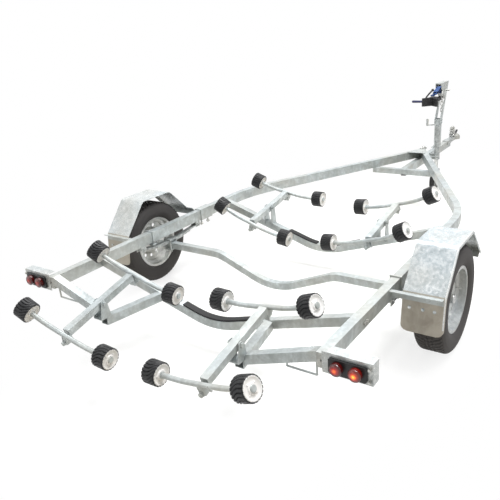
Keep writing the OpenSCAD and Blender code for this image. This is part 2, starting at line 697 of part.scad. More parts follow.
module winch_post() {
    upper = (post_top - post_joint) / cos(post_lean);
    color(GALVANISED) station(post_x) {
        translate([-post_l / 2, 0, draw_top]) translate([0, -post_w / 2, 0]) difference() {
            cube([post_l, post_w, post_joint - draw_top]);
            translate([rail_t, rail_t, -1]) cube([post_l - 2 * rail_t, post_w - 2 * rail_t, 1000]);
        }
        translate([-post_l / 2 - 30, -post_w / 2 - 20, draw_top]) cube([post_l + 60, 20, 8]);
        translate([-post_l / 2 - 30, post_w / 2, draw_top]) cube([post_l + 60, 20, 8]);
        // Leaning head plates
        for (y = [-post_w / 2 - 6, post_w / 2]) translate([0, y + 6, post_joint - 60]) rotate([90, 0, 0])
            linear_extrude(6) difference() {
                polygon([[-34, 0], [34, 0], [46, 70],
                [46 + upper * sin(post_lean), 60 + upper * cos(post_lean)],
                [bridge_from, 60 + upper * cos(post_lean)],
                [bridge_from, 20 + upper * cos(post_lean)],
                [10 + upper * sin(post_lean) / 2, 60 + upper / 2], [-34, 70]]);
                translate([winch_x - post_x, winch_z - post_joint + 60])
                    circle(r = winch_axle_r + axle_gap, $fn = 48);
            }
        translate([0, 0, post_joint]) for (z = [-38, -12]) translate([0, 0, z]) rotate([90, 0, 0])
            cylinder(d = 12, h = post_w + 36, center = true, $fn = 24);
        // Bridge over the winch
        translate([bridge_from, -post_w / 2 - 6, post_top - bridge_t]) cube([bridge_l, post_w + 12, bridge_t]);
    }
}

winch_x = post_x + 55;
winch_z = post_top - 80;
drum_d = 84;
winch_axle_r = 10;
axle_gap = 0.4;        // between the winch's axle and the head plates
crank_y = post_w / 2 + 65;
crank_l = 320;
crank_angle = 195;     // from +X up towards +Z
crank_t = 6;
grip_d = 26;
grip_l = 120;

module winch() {
    color("steelblue") station(winch_x) translate([0, 0, winch_z]) rotate([90, 0, 0]) {
        cylinder(d = drum_d, h = post_w, center = true, $fn = 64);
        cylinder(r = winch_axle_r, h = 2 * crank_y, center = true, $fn = 32);
        translate([0, 0, -crank_y - crank_t]) rotate([0, 0, crank_angle]) {
            translate([0, -12, 0]) cube([crank_l, 24, crank_t]);
            translate([crank_l - grip_d / 2, 0, crank_t - grip_l]) cylinder(d = grip_d, h = grip_l, $fn = 32);
        }
    }
}

bow_x = post_x - 170;   // station of the middle of the bow stop's vee
bow_z = post_top - 160;
bow_h = 84;
bow_arm_h = 32;

module bow_stop() {
    color(RUBBER) station(bow_x) translate([0, 0, bow_z]) {
        translate([-70, -post_w / 2, -bow_arm_h / 2]) cube([post_x - bow_x + 150, post_w, bow_arm_h]);
        translate([0, 0, -bow_h / 2]) linear_extrude(bow_h)
            polygon([[0, -36], [-70, -36], [-140, -85], [-154, -70], [-90, 0], [-154, 70], [-140, 85],
                [-70, 36], [0, 36]]);
    }
}

jockey_st = 4150;
jockey_y = -88;
jockey_tube_d = 48;
jockey_leg_d = 40;
clamp_z = draw_mid;

module jockey_place() station(jockey_st) translate([0, jockey_y, 0]) children();

module jockey_clamp() {
    color(GALVANISED) jockey_place() translate([0, 0, clamp_z]) difference() {
        union() {
            translate([0, 0, -30]) cylinder(d = jockey_tube_d + 16, h = 60, $fn = 64);
            translate([-26, 0, -30]) cube([52, -jockey_y - rail_w / 2, 60]);
        }
        translate([0, 0, -50]) cylinder(d = jockey_tube_d, h = 100, $fn = 64);
    }
    color(GALVANISED) jockey_place() translate([-jockey_tube_d / 2 - 6, 0, clamp_z + 8]) rotate([0, -90, 0]) {
        cylinder(d = 12, h = 44, $fn = 24);
        translate([0, 0, 38]) rotate([90, 0, 0]) cylinder(d = 9, h = 90, center = true, $fn = 24);
    }
}

jockey_bottom = 328;
jockey_top = 680;

module jockey_tube() {
    color(GALVANISED) jockey_place() {
        difference() {
            translate([0, 0, jockey_bottom]) cylinder(d = jockey_tube_d, h = jockey_top - jockey_bottom, $fn = 64);
            translate([0, 0, jockey_bottom - 1])
                cylinder(d = jockey_leg_d + 2 * pin_fit, h = jockey_top - jockey_bottom - 12, $fn = 64);
        }
        translate([0, 0, jockey_top - 1]) cylinder(d = 30, h = 16, $fn = 48);
        translate([-4, 6, jockey_top + 6]) rotate([0, 0, 126]) {
            translate([0, -5, 0]) cube([110, 10, 10]);
            translate([104, 0, 4]) cylinder(d = 20, h = 66, $fn = 32);
        }
    }
}

fork_top = 228;
caster_trail = 40;

module jockey_leg() {
    color(GALVANISED) jockey_place() {
        translate([0, 0, fork_top + 4]) cylinder(d = jockey_leg_d, h = jockey_bottom + 200 - fork_top, $fn = 64);
        translate([0, 0, fork_top - 22]) cylinder(d = 20, h = 40, $fn = 48);
        translate([0, 0, fork_top - 24]) cylinder(d = 34, h = 8, $fn = 48);
    }
}

module jockey_fork() {
    width = 70;
    color(GALVANISED) jockey_place() {
        difference() {
            union() {
                translate([0, 0, fork_top - 10]) cylinder(d = 46, h = 12, $fn = 48);
                translate([-caster_trail - 22, -width / 2, fork_top - 10]) cube([caster_trail + 44, width, 6]);
                for (y = [-width / 2, width / 2 - 5]) translate([0, y + 5, 0]) rotate([90, 0, 0])
                    linear_extrude(5) polygon([[-caster_trail - 22, fork_top - 6], [22, fork_top - 6],
                        [-caster_trail + 18, jockey_r - 14], [-caster_trail - 18, jockey_r - 14]]);
                translate([-caster_trail, 0, jockey_r]) rotate([90, 0, 0])
                    cylinder(d = 12, h = width + 12, center = true, $fn = 32);
            }
            translate([0, 0, fork_top - 40]) cylinder(d = 20 + 2 * pin_fit, h = 80, $fn = 48);
            translate([0, 0, fork_top - 60]) cylinder(d = 36, h = 50 - 0.5, $fn = 48);
        }
    }
}

module jockey_wheel() {
    color(RUBBER) jockey_place() translate([-caster_trail, 0, jockey_r]) rotate([90, 0, 0])
        rotate_extrude($fn = 96) polygon([[6 + pin_fit, -28], [30, -28], [34, -20], [70, -20],
            [80, -26], [jockey_r - 8, -24], [jockey_r, -12], [jockey_r, 12], [jockey_r - 8, 24],
            [80, 26], [70, 20], [34, 20], [30, 28], [6 + pin_fit, 28]]);
}

// ---- Sub-parts ---------------------------------------------------------------

drawbar();
crossmember(CROSSMEMBERS[0]);  // rear_crossmember
crossmember(CROSSMEMBERS[1]);  // front_crossmember
keel_pads();
rear_outriggers();
rocker_brackets();
axle();
mudguard_brackets();
light_brackets();
tail_lamps();
coupling();
safety_chain();
winch_post();
winch();
bow_stop();
jockey_clamp();
jockey_tube();
jockey_leg();
jockey_fork();
jockey_wheel();
for (s = SIDES) {
    side_rail(s[SIDE]);
    front_rail(s[SIDE]);
    leaf_spring(s[SIDE]);
    mudguard(s[SIDE]);
    rim(s[SIDE]);
    tyre(s[SIDE]);
    for (c = CLUSTERS) {
        rocker(s[SIDE], c);
        for (e = ENDS) {
            bar_name = str(s[0], "_", c[0], "_", e[0]);
            roller_bar(s[SIDE], c, e[1]);
            for (r = REACHES)
                roller(s[SIDE], c, e[1], r[1]);
        }
    }
}
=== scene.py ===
"""Looks of a single-axle boat trailer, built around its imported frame.

Everything is in metres, with +X towards the coupling, +Y to the trailer's left, +Z up and the
floor at z = 0. Places come from the frame's boxes and joints, sizes from each class's fields.
"""

import json
import logging
import math
from dataclasses import dataclass
from enum import Enum
from typing import Any, Sequence

import bmesh
import bpy
import numpy as np
from mathutils import Matrix, Vector

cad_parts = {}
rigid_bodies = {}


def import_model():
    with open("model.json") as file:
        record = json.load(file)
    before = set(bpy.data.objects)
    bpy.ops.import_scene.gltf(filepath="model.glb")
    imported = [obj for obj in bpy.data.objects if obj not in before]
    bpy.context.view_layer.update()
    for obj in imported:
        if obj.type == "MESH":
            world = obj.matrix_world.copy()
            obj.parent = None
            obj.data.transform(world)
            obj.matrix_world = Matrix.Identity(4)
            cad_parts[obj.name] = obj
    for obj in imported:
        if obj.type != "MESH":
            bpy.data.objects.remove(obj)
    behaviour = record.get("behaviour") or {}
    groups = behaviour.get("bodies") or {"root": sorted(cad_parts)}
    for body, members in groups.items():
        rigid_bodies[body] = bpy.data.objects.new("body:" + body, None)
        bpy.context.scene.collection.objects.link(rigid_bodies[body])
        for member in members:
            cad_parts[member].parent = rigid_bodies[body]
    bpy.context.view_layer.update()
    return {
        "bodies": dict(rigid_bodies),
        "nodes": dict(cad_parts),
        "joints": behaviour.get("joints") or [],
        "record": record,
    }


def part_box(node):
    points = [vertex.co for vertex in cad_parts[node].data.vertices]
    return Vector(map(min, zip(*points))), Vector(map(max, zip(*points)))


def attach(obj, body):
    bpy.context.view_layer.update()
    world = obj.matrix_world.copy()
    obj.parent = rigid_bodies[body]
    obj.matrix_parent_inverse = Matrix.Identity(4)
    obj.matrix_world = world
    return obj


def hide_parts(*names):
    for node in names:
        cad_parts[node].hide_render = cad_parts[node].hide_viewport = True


log = logging.getLogger("trailer")
Array = np.ndarray
Tree = bpy.types.NodeTree
Node = bpy.types.Node
Socket = bpy.types.NodeSocket
MM = 0.001
AHEAD, BACK = (1, 0, 0), (-1, 0, 0)
LEFT = (0, 1, 0)
UP, DOWN = (0, 0, 1), (0, 0, -1)


class Side(Enum):
    """The trailer's two sides, with the sign of Y."""

    LEFT = 1
    RIGHT = -1

    @property
    def word(self) -> str:
        """The side's name as the frame's nodes start with it."""
        return self.name.lower()


class Cradle(Enum):
    """The two pairs of rocking cradles."""

    REAR = "rear"
    FRONT = "front"


class End(Enum):
    """The two bars of a cradle."""

    AFT = -1
    FORE = 1


class Reach(Enum):
    """The two rollers of a bar."""

    INNER = "inner"
    OUTER = "outer"


class Slot(Enum):
    """The record's material slots."""

    ZINC = "galvanised_steel"
    RUBBER = "black_rubber"
    TYRE = "tyre_rubber"
    JOCKEY = "jockey_rubber"
    LAMP = "lamp_red"
    WINCH = "winch_steel"
    CHAIN = "chain_steel"


# ---- Shapes ----------------------------------------------------------------


@dataclass
class Shell:
    """Points and faces of one or more closed skins."""

    points: Array
    faces: list[tuple[int, ...]]

    def placed(self, place: Array) -> "Shell":
        """The shell carried by a 4 by 4 matrix: each point is turned, then shifted."""
        return Shell(self.points @ place[:3, :3].T + place[:3, 3], self.faces)


def joined(shells: Sequence[Shell]) -> Shell:
    """Several shells as one, the faces of each counted on from the points before it.

    Args:
        shells: the shells to put together.

    Returns:
        One shell that holds them all.
    """
    starts = np.cumsum([0] + [len(s.points) for s in shells])
    faces = [tuple(i + int(k) for i in f) for s, k in zip(shells, starts) for f in s.faces]
    return Shell(np.vstack([s.points for s in shells]), faces)


def unit(v: Sequence[float] | Array) -> Array:
    """The vector, or each row of vectors, at length one."""
    v = np.asarray(v, float)
    return v / np.linalg.norm(v, axis=-1, keepdims=True)


def placement(origin: Sequence[float], axis: Sequence[float], across: Sequence[float]) -> Array:
    """A place whose Z lies along axis and whose X is across, less its part along the axis.

    Args:
        origin: where the place's origin is.
        axis: direction of its Z.
        across: roughly the direction of its X.

    Returns:
        A 4 by 4 matrix.
    """
    z = unit(axis)
    x = unit(np.asarray(across, float) - np.dot(across, z) * z)
    place = np.eye(4)
    place[:3, :] = np.column_stack([x, np.cross(z, x), z, np.asarray(origin, float)])
    return place


def skin(points: Array, looped: bool = False) -> Shell:
    """The quads between the neighbours of a grid of points, whose last column joins the first.

    Args:
        points: rows by columns by 3.
        looped: the last row joins the first; otherwise both end rows are closed by one face each.

    Returns:
        A closed shell.
    """
    rows, cols = points.shape[:2]
    index = np.arange(rows * cols).reshape(rows, cols)
    ends = [] if looped else [tuple(index[0].tolist()), tuple(index[-1, ::-1].tolist())]
    index = np.vstack([index, index[:1]]) if looped else index
    index = np.hstack([index, index[:, :1]])
    quads = np.stack([index[:-1, :-1], index[1:, :-1], index[1:, 1:], index[:-1, 1:]], -1)
    return Shell(points.reshape(-1, 3), [tuple(q) for q in quads.reshape(-1, 4).tolist()] + ends)


def full_turn(steps: int) -> Array:
    """Equal angles round a circle, the last one short of the first."""
    return np.linspace(0, 2 * math.pi, steps, endpoint=False)


def lathe(profile: Array, steps: int, looped: bool = False, relief: Array | None = None) -> Shell:
    """A profile turned about Z: x = r cos a, y = r sin a, z = height, with r less the relief.

    Args:
        profile: rows of radius and height.
        steps: how many columns go round.
        looped: the profile is a closed ring; otherwise its two ends get flat faces.
        relief: rows by steps, how far each point is set in.

    Returns:
        A closed shell.
    """
    turn = full_turn(steps)
    radius = np.repeat(profile[:, :1], steps, 1) - (0 if relief is None else relief)
    height = np.repeat(profile[:, 1:2], steps, 1)
    grid = np.stack([radius * np.cos(turn), radius * np.sin(turn), height], -1)
    return skin(grid, looped)


def disc(radius: float, low: float, high: float, steps: int = 32, edge: float = 0.8 * MM) -> Shell:
    """A round bar from low to high along Z with both rims chamfered by edge."""
    return lathe(np.array([[radius - edge, low], [radius, low + edge], [radius, high - edge],
                           [radius - edge, high]]), steps)


def softened(corners: Array, times: int = 2) -> Array:
    """Corner cutting: each edge keeps its points at a quarter and three quarters, times over,
    and the two end points stay.

    Args:
        corners: rows of points.
        times: how often the corners are cut.

    Returns:
        The rounder row of points.
    """
    line = np.asarray(corners, float)
    for _ in range(times):
        before, after = line[:-1], line[1:]
        cut = np.stack([0.75 * before + 0.25 * after, 0.25 * before + 0.75 * after], 1)
        line = np.vstack([line[:1], cut.reshape(-1, line.shape[1]), line[-1:]])
    return line


def spaced(line: Array, step: float) -> Array:
    """The same row of points filled in so that neighbours lie about step apart.

    Args:
        line: the row of points.
        step: the distance between neighbours.

    Returns:
        The filled row.
    """
    length = np.concatenate([[0], np.cumsum(np.linalg.norm(np.diff(line, axis=0), axis=1))])
    at = np.linspace(0, length[-1], max(2, int(round(length[-1] / step)) + 1))
    return np.stack([np.interp(at, length, line[:, i]) for i in range(line.shape[1])], 1)


def ring(radius: float, sides: int) -> Array:
    """A circle's outline: sides points at equal angles."""
    turn = full_turn(sides)
    return radius * np.stack([np.cos(turn), np.sin(turn)], 1)


def rounded(width: float, depth: float, radius: float, per_corner: int = 5) -> Array:
    """A rectangle's outline with quarter circles of the radius at its four corners.

    Args:
        width: size along x.
        depth: size along y.
        radius: radius in metres.
        per_corner: points on each corner.

    Returns:
        Rows of x and y.
    """
    turn = np.linspace(0, math.pi / 2, per_corner)
    arc = radius * np.stack([np.cos(turn), np.sin(turn)], 1)
    signs = ((1, 1, 0), (-1, 1, 1), (-1, -1, 2), (1, -1, 3))
    spin = (np.eye(2), np.array([[0, 1], [-1, 0]]), -np.eye(2), np.array([[0, -1], [1, 0]]))
    return np.vstack([arc @ spin[k] + [sx * (width / 2 - radius), sy * (depth / 2 - radius)]
                      for sx, sy, k in signs])


def sweep(path: Array, section: Array, up: Sequence[float], looped: bool = False) -> Shell:
    """A section carried along a path: point = path + s side + t lift.

    Side is the path's direction crossed with up, and lift is side crossed with the direction.

    Args:
        path: the row of points followed.
        section: the outline as side and lift, one for all or one for each path point.
        up: a direction that the path never runs along.
        looped: the path closes on itself.

    Returns:
        A closed shell.
    """
    ahead = np.roll(path, -1, 0) - np.roll(path, 1, 0) if looped else np.gradient(path, axis=0)
    ahead = unit(ahead)
    side = unit(np.cross(ahead, np.asarray(up, float)))
    lift = np.cross(side, ahead)
    shape = section if section.ndim == 3 else np.repeat(section[None], len(path), 0)
    return skin(path[:, None] + shape[..., :1] * side[:, None] + shape[..., 1:] * lift[:, None], looped)


def slab(outline: Array, thick: float, edge: float = 0.8 * MM) -> Shell:
    """An outline raised from z = 0 to thick, drawn in by edge at its two rims.

    Args:
        outline: rows of x and y.
        thick: height of the slab.
        edge: size of the chamfer.

    Returns:
        A closed shell.
    """
    half = np.abs(outline).max(0)
    inset = outline * (1 - edge / np.maximum(half, 2 * edge))
    rows = [(inset, 0), (outline, edge), (outline, thick - edge), (inset, thick)]
    return skin(np.stack([np.column_stack([o, np.full(len(o), z)]) for o, z in rows]))


def bolt(size: float, grip: float, washer: bool = True) -> Shell:
    """A hexagon bolt along Z: head above z = 0, washers, shank, nut and thread end below.

    Args:
        size: the thread's diameter.
        grip: thickness held between head and nut.
        washer: add a washer under the head and the nut.

    Returns:
        A closed shell.
    """
    hexagon, lift = ring(0.95 * size, 6), (0.15 * size if washer else 0.0)
    parts = [slab(hexagon, 0.65 * size, 0.08 * size).placed(shift(0, 0, lift)),
             disc(size / 2, -grip - 1.5 * size, 0.0, 16, 0.1 * size),
             slab(hexagon, 0.8 * size, 0.08 * size).placed(shift(0, 0, -grip - lift - 0.8 * size))]
    if washer:
        parts += [disc(1.15 * size, 0, lift, 24, 0.03 * size),
                  disc(1.15 * size, -grip - lift, -grip, 24, 0.03 * size)]
    return joined(parts)


def shift(x: float, y: float, z: float) -> Array:
    """A place shifted from the origin, unturned.

    Args:
        x: how far forward.
        y: how far left.
        z: how far up.

    Returns:
        A 4 by 4 matrix.
    """
    place = np.eye(4)
    place[:3, 3] = x, y, z
    return place


def mirrored(shell: Shell) -> Shell:
    """The shell on the trailer's other side; its faces are turned right when it becomes a piece."""
    return Shell(shell.points * [1, -1, 1], shell.faces)


# ---- Finishes --------------------------------------------------------------


def linear(colour: str) -> tuple[float, float, float, float]:
    """An sRGB hex colour as linear red, green, blue and full alpha."""
    parts = [int(colour[i:i + 2], 16) / 255 for i in (1, 3, 5)]
    return (*(c / 12.92 if c <= 0.04045 else ((c + 0.055) / 1.055) ** 2.4 for c in parts), 1.0)


def add(tree: Tree, kind: str, inputs: dict[Any, Any] | None = None,
        stops: Sequence[tuple[float, str]] = (), **settings: Any) -> Node:
    """Adds a node with its settings, its ramp's stops and its links.

    Args:
        tree: the material's nodes.
        kind: the node's type, without "ShaderNode".
        inputs: value or output socket for each input, by name or number.
        stops: a colour ramp's places and sRGB hex colours.
        settings: the node's own properties.

    Returns:
        The new node.
    """
    node = tree.nodes.new("ShaderNode" + kind)
    for name, value in settings.items():
        setattr(node, name, value)
    if stops:
        ramp = node.color_ramp.elements
        while len(ramp) < len(stops):
            ramp.new(0.5)
        for element, (place, colour) in zip(ramp, stops):
            element.position, element.color = place, linear(colour)
    feed(tree, node, inputs or {})
    return node


def feed(tree: Tree, node: Node, inputs: dict[Any, Any]) -> None:
    """Gives a node's inputs their values, and links those that come from another node.

    Args:
        tree: the nodes that it is among.
        node: the node.
        inputs: value or output socket for each input, by name or number.
    """
    for name, value in inputs.items():
        if isinstance(value, Socket):
            tree.links.new(value, node.inputs[name])
        else:
            node.inputs[name].default_value = value


def remap(tree: Tree, value: Socket, low: float, high: float, to_low: float, to_high: float) -> Socket:
    """A value carried from the range low to high onto to_low to to_high, and held within it."""
    ends = {1: low, 2: high, 3: to_low, 4: to_high}
    return add(tree, "MapRange", {"Value": value, **ends}).outputs[0]


@dataclass(frozen=True)
class Finish:
    """What a surface is made of. Each kind of finish paints its own nodes."""

    name: str

    def material(self) -> bpy.types.Material:
        """The finish as a Blender material, made the first time it is asked for.

        Returns:
            The material.
        """
        made = bpy.data.materials.get(self.name)
        if made is None:
            made = bpy.data.materials.new(self.name)
            made.use_nodes = True
            self.paint(made.node_tree, made.node_tree.nodes["Principled BSDF"])
        return made

    def paint(self, tree: Tree, shader: Node) -> None:
        """Adds the finish's own nodes and links them to the shader."""
        raise NotImplementedError

    def place(self, tree: Tree) -> Socket:
        """The point on the piece, in metres, which turns with the piece."""
        return add(tree, "TexCoord").outputs["Object"]


@dataclass(frozen=True)
class DippedZinc(Finish):
    """Hot-dip galvanised mild steel: zinc crystals of slightly different greys, soft blotches
    where the bath ran off, and a satin gloss that changes from crystal to crystal."""

    dark: str = "#9da3a4"
    middle: str = "#afb6b7"
    light: str = "#cbd3d5"
    warm: str = "#c2bcae"
    crystal_mm: float = 16.0
    blotch_mm: float = 90.0
    roughness: float = 0.34
    metallic: float = 0.4
    sparkle: float = 0.12

    def paint(self, tree: Tree, shader: Node) -> None:
        """Crystals and blotches mix into one tone, which picks the grey and the roughness.

        Args:
            tree: the nodes to add to.
            shader: the node that takes the results.
        """
        at = self.place(tree)
        bent = add(tree, "TexNoise", {"Vector": at, "Scale": 1 / (self.crystal_mm * MM), "Detail": 2})
        nudge = add(tree, "VectorMath", {0: bent.outputs["Color"], 1: (0.004, 0.004, 0.004)},
                    operation="MULTIPLY")
        at_bent = add(tree, "VectorMath", {0: at, 1: nudge.outputs[0]}, operation="ADD").outputs[0]
        cells = add(tree, "TexVoronoi", {"Vector": at_bent, "Scale": 1 / (self.crystal_mm * MM)})
        cell = add(tree, "SeparateColor", {"Color": cells.outputs["Color"]}).outputs["Red"]
        blotch = add(tree, "TexNoise", {"Vector": at, "Scale": 1 / (self.blotch_mm * MM),
                                        "Detail": 5, "Roughness": 0.62, "Distortion": 0.6})
        runs = add(tree, "TexNoise", {"Vector": add(tree, "Mapping", {
            "Vector": at, "Scale": (1, 1, 0.16)}).outputs[0], "Scale": 38.0, "Detail": 3})
        mixed = add(tree, "Mix", {"Factor": self.sparkle, "A": blotch.outputs["Fac"], "B": cell})
        tone = add(tree, "Mix", {"Factor": 0.22, "A": mixed.outputs[0], "B": runs.outputs["Fac"]})
        grey = add(tree, "ValToRGB", {"Fac": tone.outputs[0]},
                   ((0.3, self.dark), (0.48, self.middle), (0.68, self.light)))
        wide = add(tree, "TexNoise", {"Vector": at, "Scale": 3.1, "Detail": 3})
        share = remap(tree, wide.outputs["Fac"], 0.42, 0.72, 0.0, 0.42)
        tinted = add(tree, "Mix", {"Factor": share, "A": grey.outputs["Color"],
                                   "B": linear(self.warm)}, data_type="RGBA")
        gloss = remap(tree, tone.outputs[0], 0.3, 0.7, self.roughness + 0.12, self.roughness - 0.08)
        bump = add(tree, "Bump", {"Height": tone.outputs[0], "Strength": 0.25, "Distance": 0.6 * MM})
        feed(tree, shader, {"Base Color": tinted.outputs["Result"], "Roughness": gloss,
                            "Normal": bump.outputs[0], "Metallic": self.metallic})


@dataclass(frozen=True)
class Moulded(Finish):
    """A moulded or cured piece of one colour: fine grain in the gloss, faint mottling, and dust
    or scuffing where the noise is high."""

    colour: str = "#1a1b1c"
    dust: str = "#3a3835"
    dusting: float = 0.35
    roughness: float = 0.55
    grain_mm: float = 1.6
    relief: float = 0.2

    def paint(self, tree: Tree, shader: Node) -> None:
        """A cloud of dust over the colour, and grain drawn coarse enough to show in the gloss.

        Args:
            tree: the nodes to add to.
            shader: the node that takes the results.
        """
        at = self.place(tree)
        cloud = add(tree, "TexNoise", {"Vector": at, "Scale": 22.0, "Detail": 6, "Roughness": 0.65})
        grain = add(tree, "TexNoise", {"Vector": at, "Scale": 1 / (self.grain_mm * MM), "Detail": 3})
        share = remap(tree, cloud.outputs["Fac"], 0.42, 0.75, 0.0, self.dusting)
        shade = add(tree, "Mix", {"Factor": share, "A": linear(self.colour),
                                  "B": linear(self.dust)}, data_type="RGBA")
        gloss = remap(tree, grain.outputs["Fac"], 0.3, 0.7, self.roughness - 0.06, self.roughness + 0.1)
        bump = add(tree, "Bump", {"Height": grain.outputs["Fac"], "Strength": self.relief,
                                  "Distance": 0.3 * MM})
        feed(tree, shader, {"Base Color": shade.outputs["Result"], "Roughness": gloss,
                            "Normal": bump.outputs[0]})


@dataclass(frozen=True)
class Lens(Finish):
    """Clear-coated acrylic lens over a bulb: deep colour at the rim, a lighter glow in the
    middle, read from the piece's own radius attribute."""

    rim: str = "#4a0403"
    middle: str = "#9c110c"
    core: str = "#d8301f"
    glow: float = 0.0
    roughness: float = 0.12
    coat: float = 0.6

    def paint(self, tree: Tree, shader: Node) -> None:
        """The share of the radius picks the colour; ribs come from the mesh.

        Args:
            tree: the nodes to add to.
            shader: the node that takes the results.
        """
        share = add(tree, "Attribute", attribute_name="rim_share")
        noise = add(tree, "TexNoise", {"Vector": self.place(tree), "Scale": 160.0, "Detail": 2})
        sum_ = add(tree, "Math", {0: noise.outputs["Fac"], 1: 0.2, 2: share.outputs["Fac"]},
                   operation="MULTIPLY_ADD")
        shade = add(tree, "ValToRGB", {"Fac": sum_.outputs[0]},
                    ((0.1, self.core), (0.5, self.middle), (1.0, self.rim)))
        lit = remap(tree, sum_.outputs[0], 0.15, 0.75, self.glow, 0.0)
        feed(tree, shader, {"Base Color": shade.outputs["Color"], "Roughness": self.roughness,
                            "Emission Color": shade.outputs["Color"],
                            "Emission Strength": lit,
                            "Coat Weight": self.coat, "Coat Roughness": self.roughness / 2})


@dataclass(frozen=True)
class Webbing(Finish):
    """Woven polyester webbing: crossing warp and weft threads 2 mm apart, drawn coarse enough
    to show, with painted shade darkening the low places between them."""

    light: str = "#1f62ae"
    dark: str = "#0a2a5e"
    thread_mm: float = 2.0
    roughness: float = 0.75
    sheen: float = 0.3

    def paint(self, tree: Tree, shader: Node) -> None:
        """Two wave bands across each other give the threads' height, and the colour, whose dark low
        places are painted shade.

        Args:
            tree: the nodes to add to.
            shader: the node that takes the results.
        """
        at = self.place(tree)
        scale = 1 / (self.thread_mm * MM) / 3
        weft = add(tree, "TexWave", {"Vector": at, "Scale": scale, "Distortion": 0.4},
                   bands_direction="Y")
        warp = add(tree, "TexWave", {"Vector": at, "Scale": scale, "Distortion": 0.4},
                   bands_direction="DIAGONAL")
        height = add(tree, "Math", {0: weft.outputs["Fac"], 1: warp.outputs["Fac"]},
                     operation="MULTIPLY")
        # Where the weave is low the colour goes dark: painted shade between the threads
        shade = add(tree, "ValToRGB", {"Fac": height.outputs[0]}, ((0.0, self.dark), (0.7, self.light)))
        bump = add(tree, "Bump", {"Height": height.outputs[0], "Strength": 0.6, "Distance": 0.8 * MM})
        feed(tree, shader, {"Base Color": shade.outputs["Color"], "Normal": bump.outputs[0],
                            "Roughness": self.roughness, "Sheen Weight": self.sheen})


# Rolled hollow section, dipped after welding: mid-sized crystals under soft blotches
TUBE_ZINC = DippedZinc("galvanised_tube")
# Folded sheet: thin, so that its crystals grow large and bright
SHEET_ZINC = DippedZinc("galvanised_sheet", crystal_mm=11.0, blotch_mm=38.0, roughness=0.26,
                        dark="#9fa8ac", middle="#bac3c7", light="#e6ebed", sparkle=0.28)
# The flap's sheet, smooth; its darker warm beige is a painted reflection of the ground
GROUND_REFLECTION_ZINC = DippedZinc("galvanised_flap", crystal_mm=30.0, blotch_mm=140.0, roughness=0.42,
                       dark="#918b80", middle="#a39d92", light="#b3ada2", sparkle=0.1)
# A rolled edge whose near-white colour is a painted highlight
HIGHLIGHT_EDGE_ZINC = DippedZinc("galvanised_edge", crystal_mm=9.0, blotch_mm=30.0, roughness=0.3,
                       dark="#c6cacb", middle="#e2e5e6", light="#f4f5f5", sparkle=0.3)
# Thick castings and clamps cool slowly, which leaves them duller
DULL_ZINC = DippedZinc("galvanised_casting", dark="#84898a", middle="#a6abab", light="#cdd1d1",
                       crystal_mm=9.0, blotch_mm=35.0, roughness=0.44)
# Pressed wheel steel, dipped: bright
WHEEL_ZINC = DippedZinc("galvanised_wheel", middle="#c0c4c6", light="#e4e6e6", crystal_mm=12.0)
# Electroplated bolts, nuts and chain: brighter and smoother than the dipped frame
BRIGHT_ZINC = DippedZinc("plated_steel", dark="#8d8f8e", middle="#bfc1c0", light="#e6e6e2",
                         crystal_mm=5.0, blotch_mm=18.0, roughness=0.26, metallic=0.85)
# Cured black rubber of the roller treads, slightly shiny from the mould
TREAD_RUBBER = Moulded("roller_rubber", "#0f1013", "#26272c", dusting=0.25, roughness=0.4)
# Moulded white nylon of the roller hubs
HUB_NYLON = Moulded("hub_nylon", "#f3f2f1", "#dcdad6", dusting=0.4, roughness=0.42, relief=0.1)
# Road tyre: carbon black rubber gone brown-grey with dust
ROAD_RUBBER = Moulded("tyre_rubber", "#181615", "#3a3430", dusting=0.8, roughness=0.7)
# Extruded keel pad rubber
PAD_RUBBER = Moulded("pad_rubber", "#101112", "#252527", roughness=0.6)
# Black ABS of the lamp bases
LAMP_BLACK = Moulded("lamp_abs", "#141415", "#2b2a2a", roughness=0.35, relief=0.1)
# Cast and painted bow block
BLOCK_RUBBER = Moulded("bow_rubber", "#121214", "#2b2b30", roughness=0.55)
# Dark blue vinyl sleeve of the winch grip
GRIP_VINYL = Moulded("grip_vinyl", "#151d49", "#262f62", roughness=0.4, relief=0.1)
# Pale plastic knob of the jockey's crank
KNOB_PLASTIC = Moulded("knob_plastic", "#c9c4b4", "#a9a493", roughness=0.45, relief=0.1)
# Solid rubber of the jockey's wheel, and its grey plastic centre
JOCKEY_RUBBER = Moulded("jockey_wheel_rubber", "#0f0f10", "#262422", roughness=0.6)
JOCKEY_PLASTIC = Moulded("jockey_wheel_plastic", "#8f9291", "#767876", roughness=0.5)
STRAP_WEBBING = Webbing("strap_webbing")
RED_LENS = Lens("red_lens")
# Lit from behind on the right lamp: the stop light's bulb, and the flasher's
LIT_LENS = Lens("lit_red_lens", middle="#b81508", core="#ff7a2a", glow=0.9)
AMBER_LENS = Lens("amber_lens", rim="#6a0a03", middle="#d83a08", core="#ffc840", glow=1.3)


# ---- Pieces ----------------------------------------------------------------


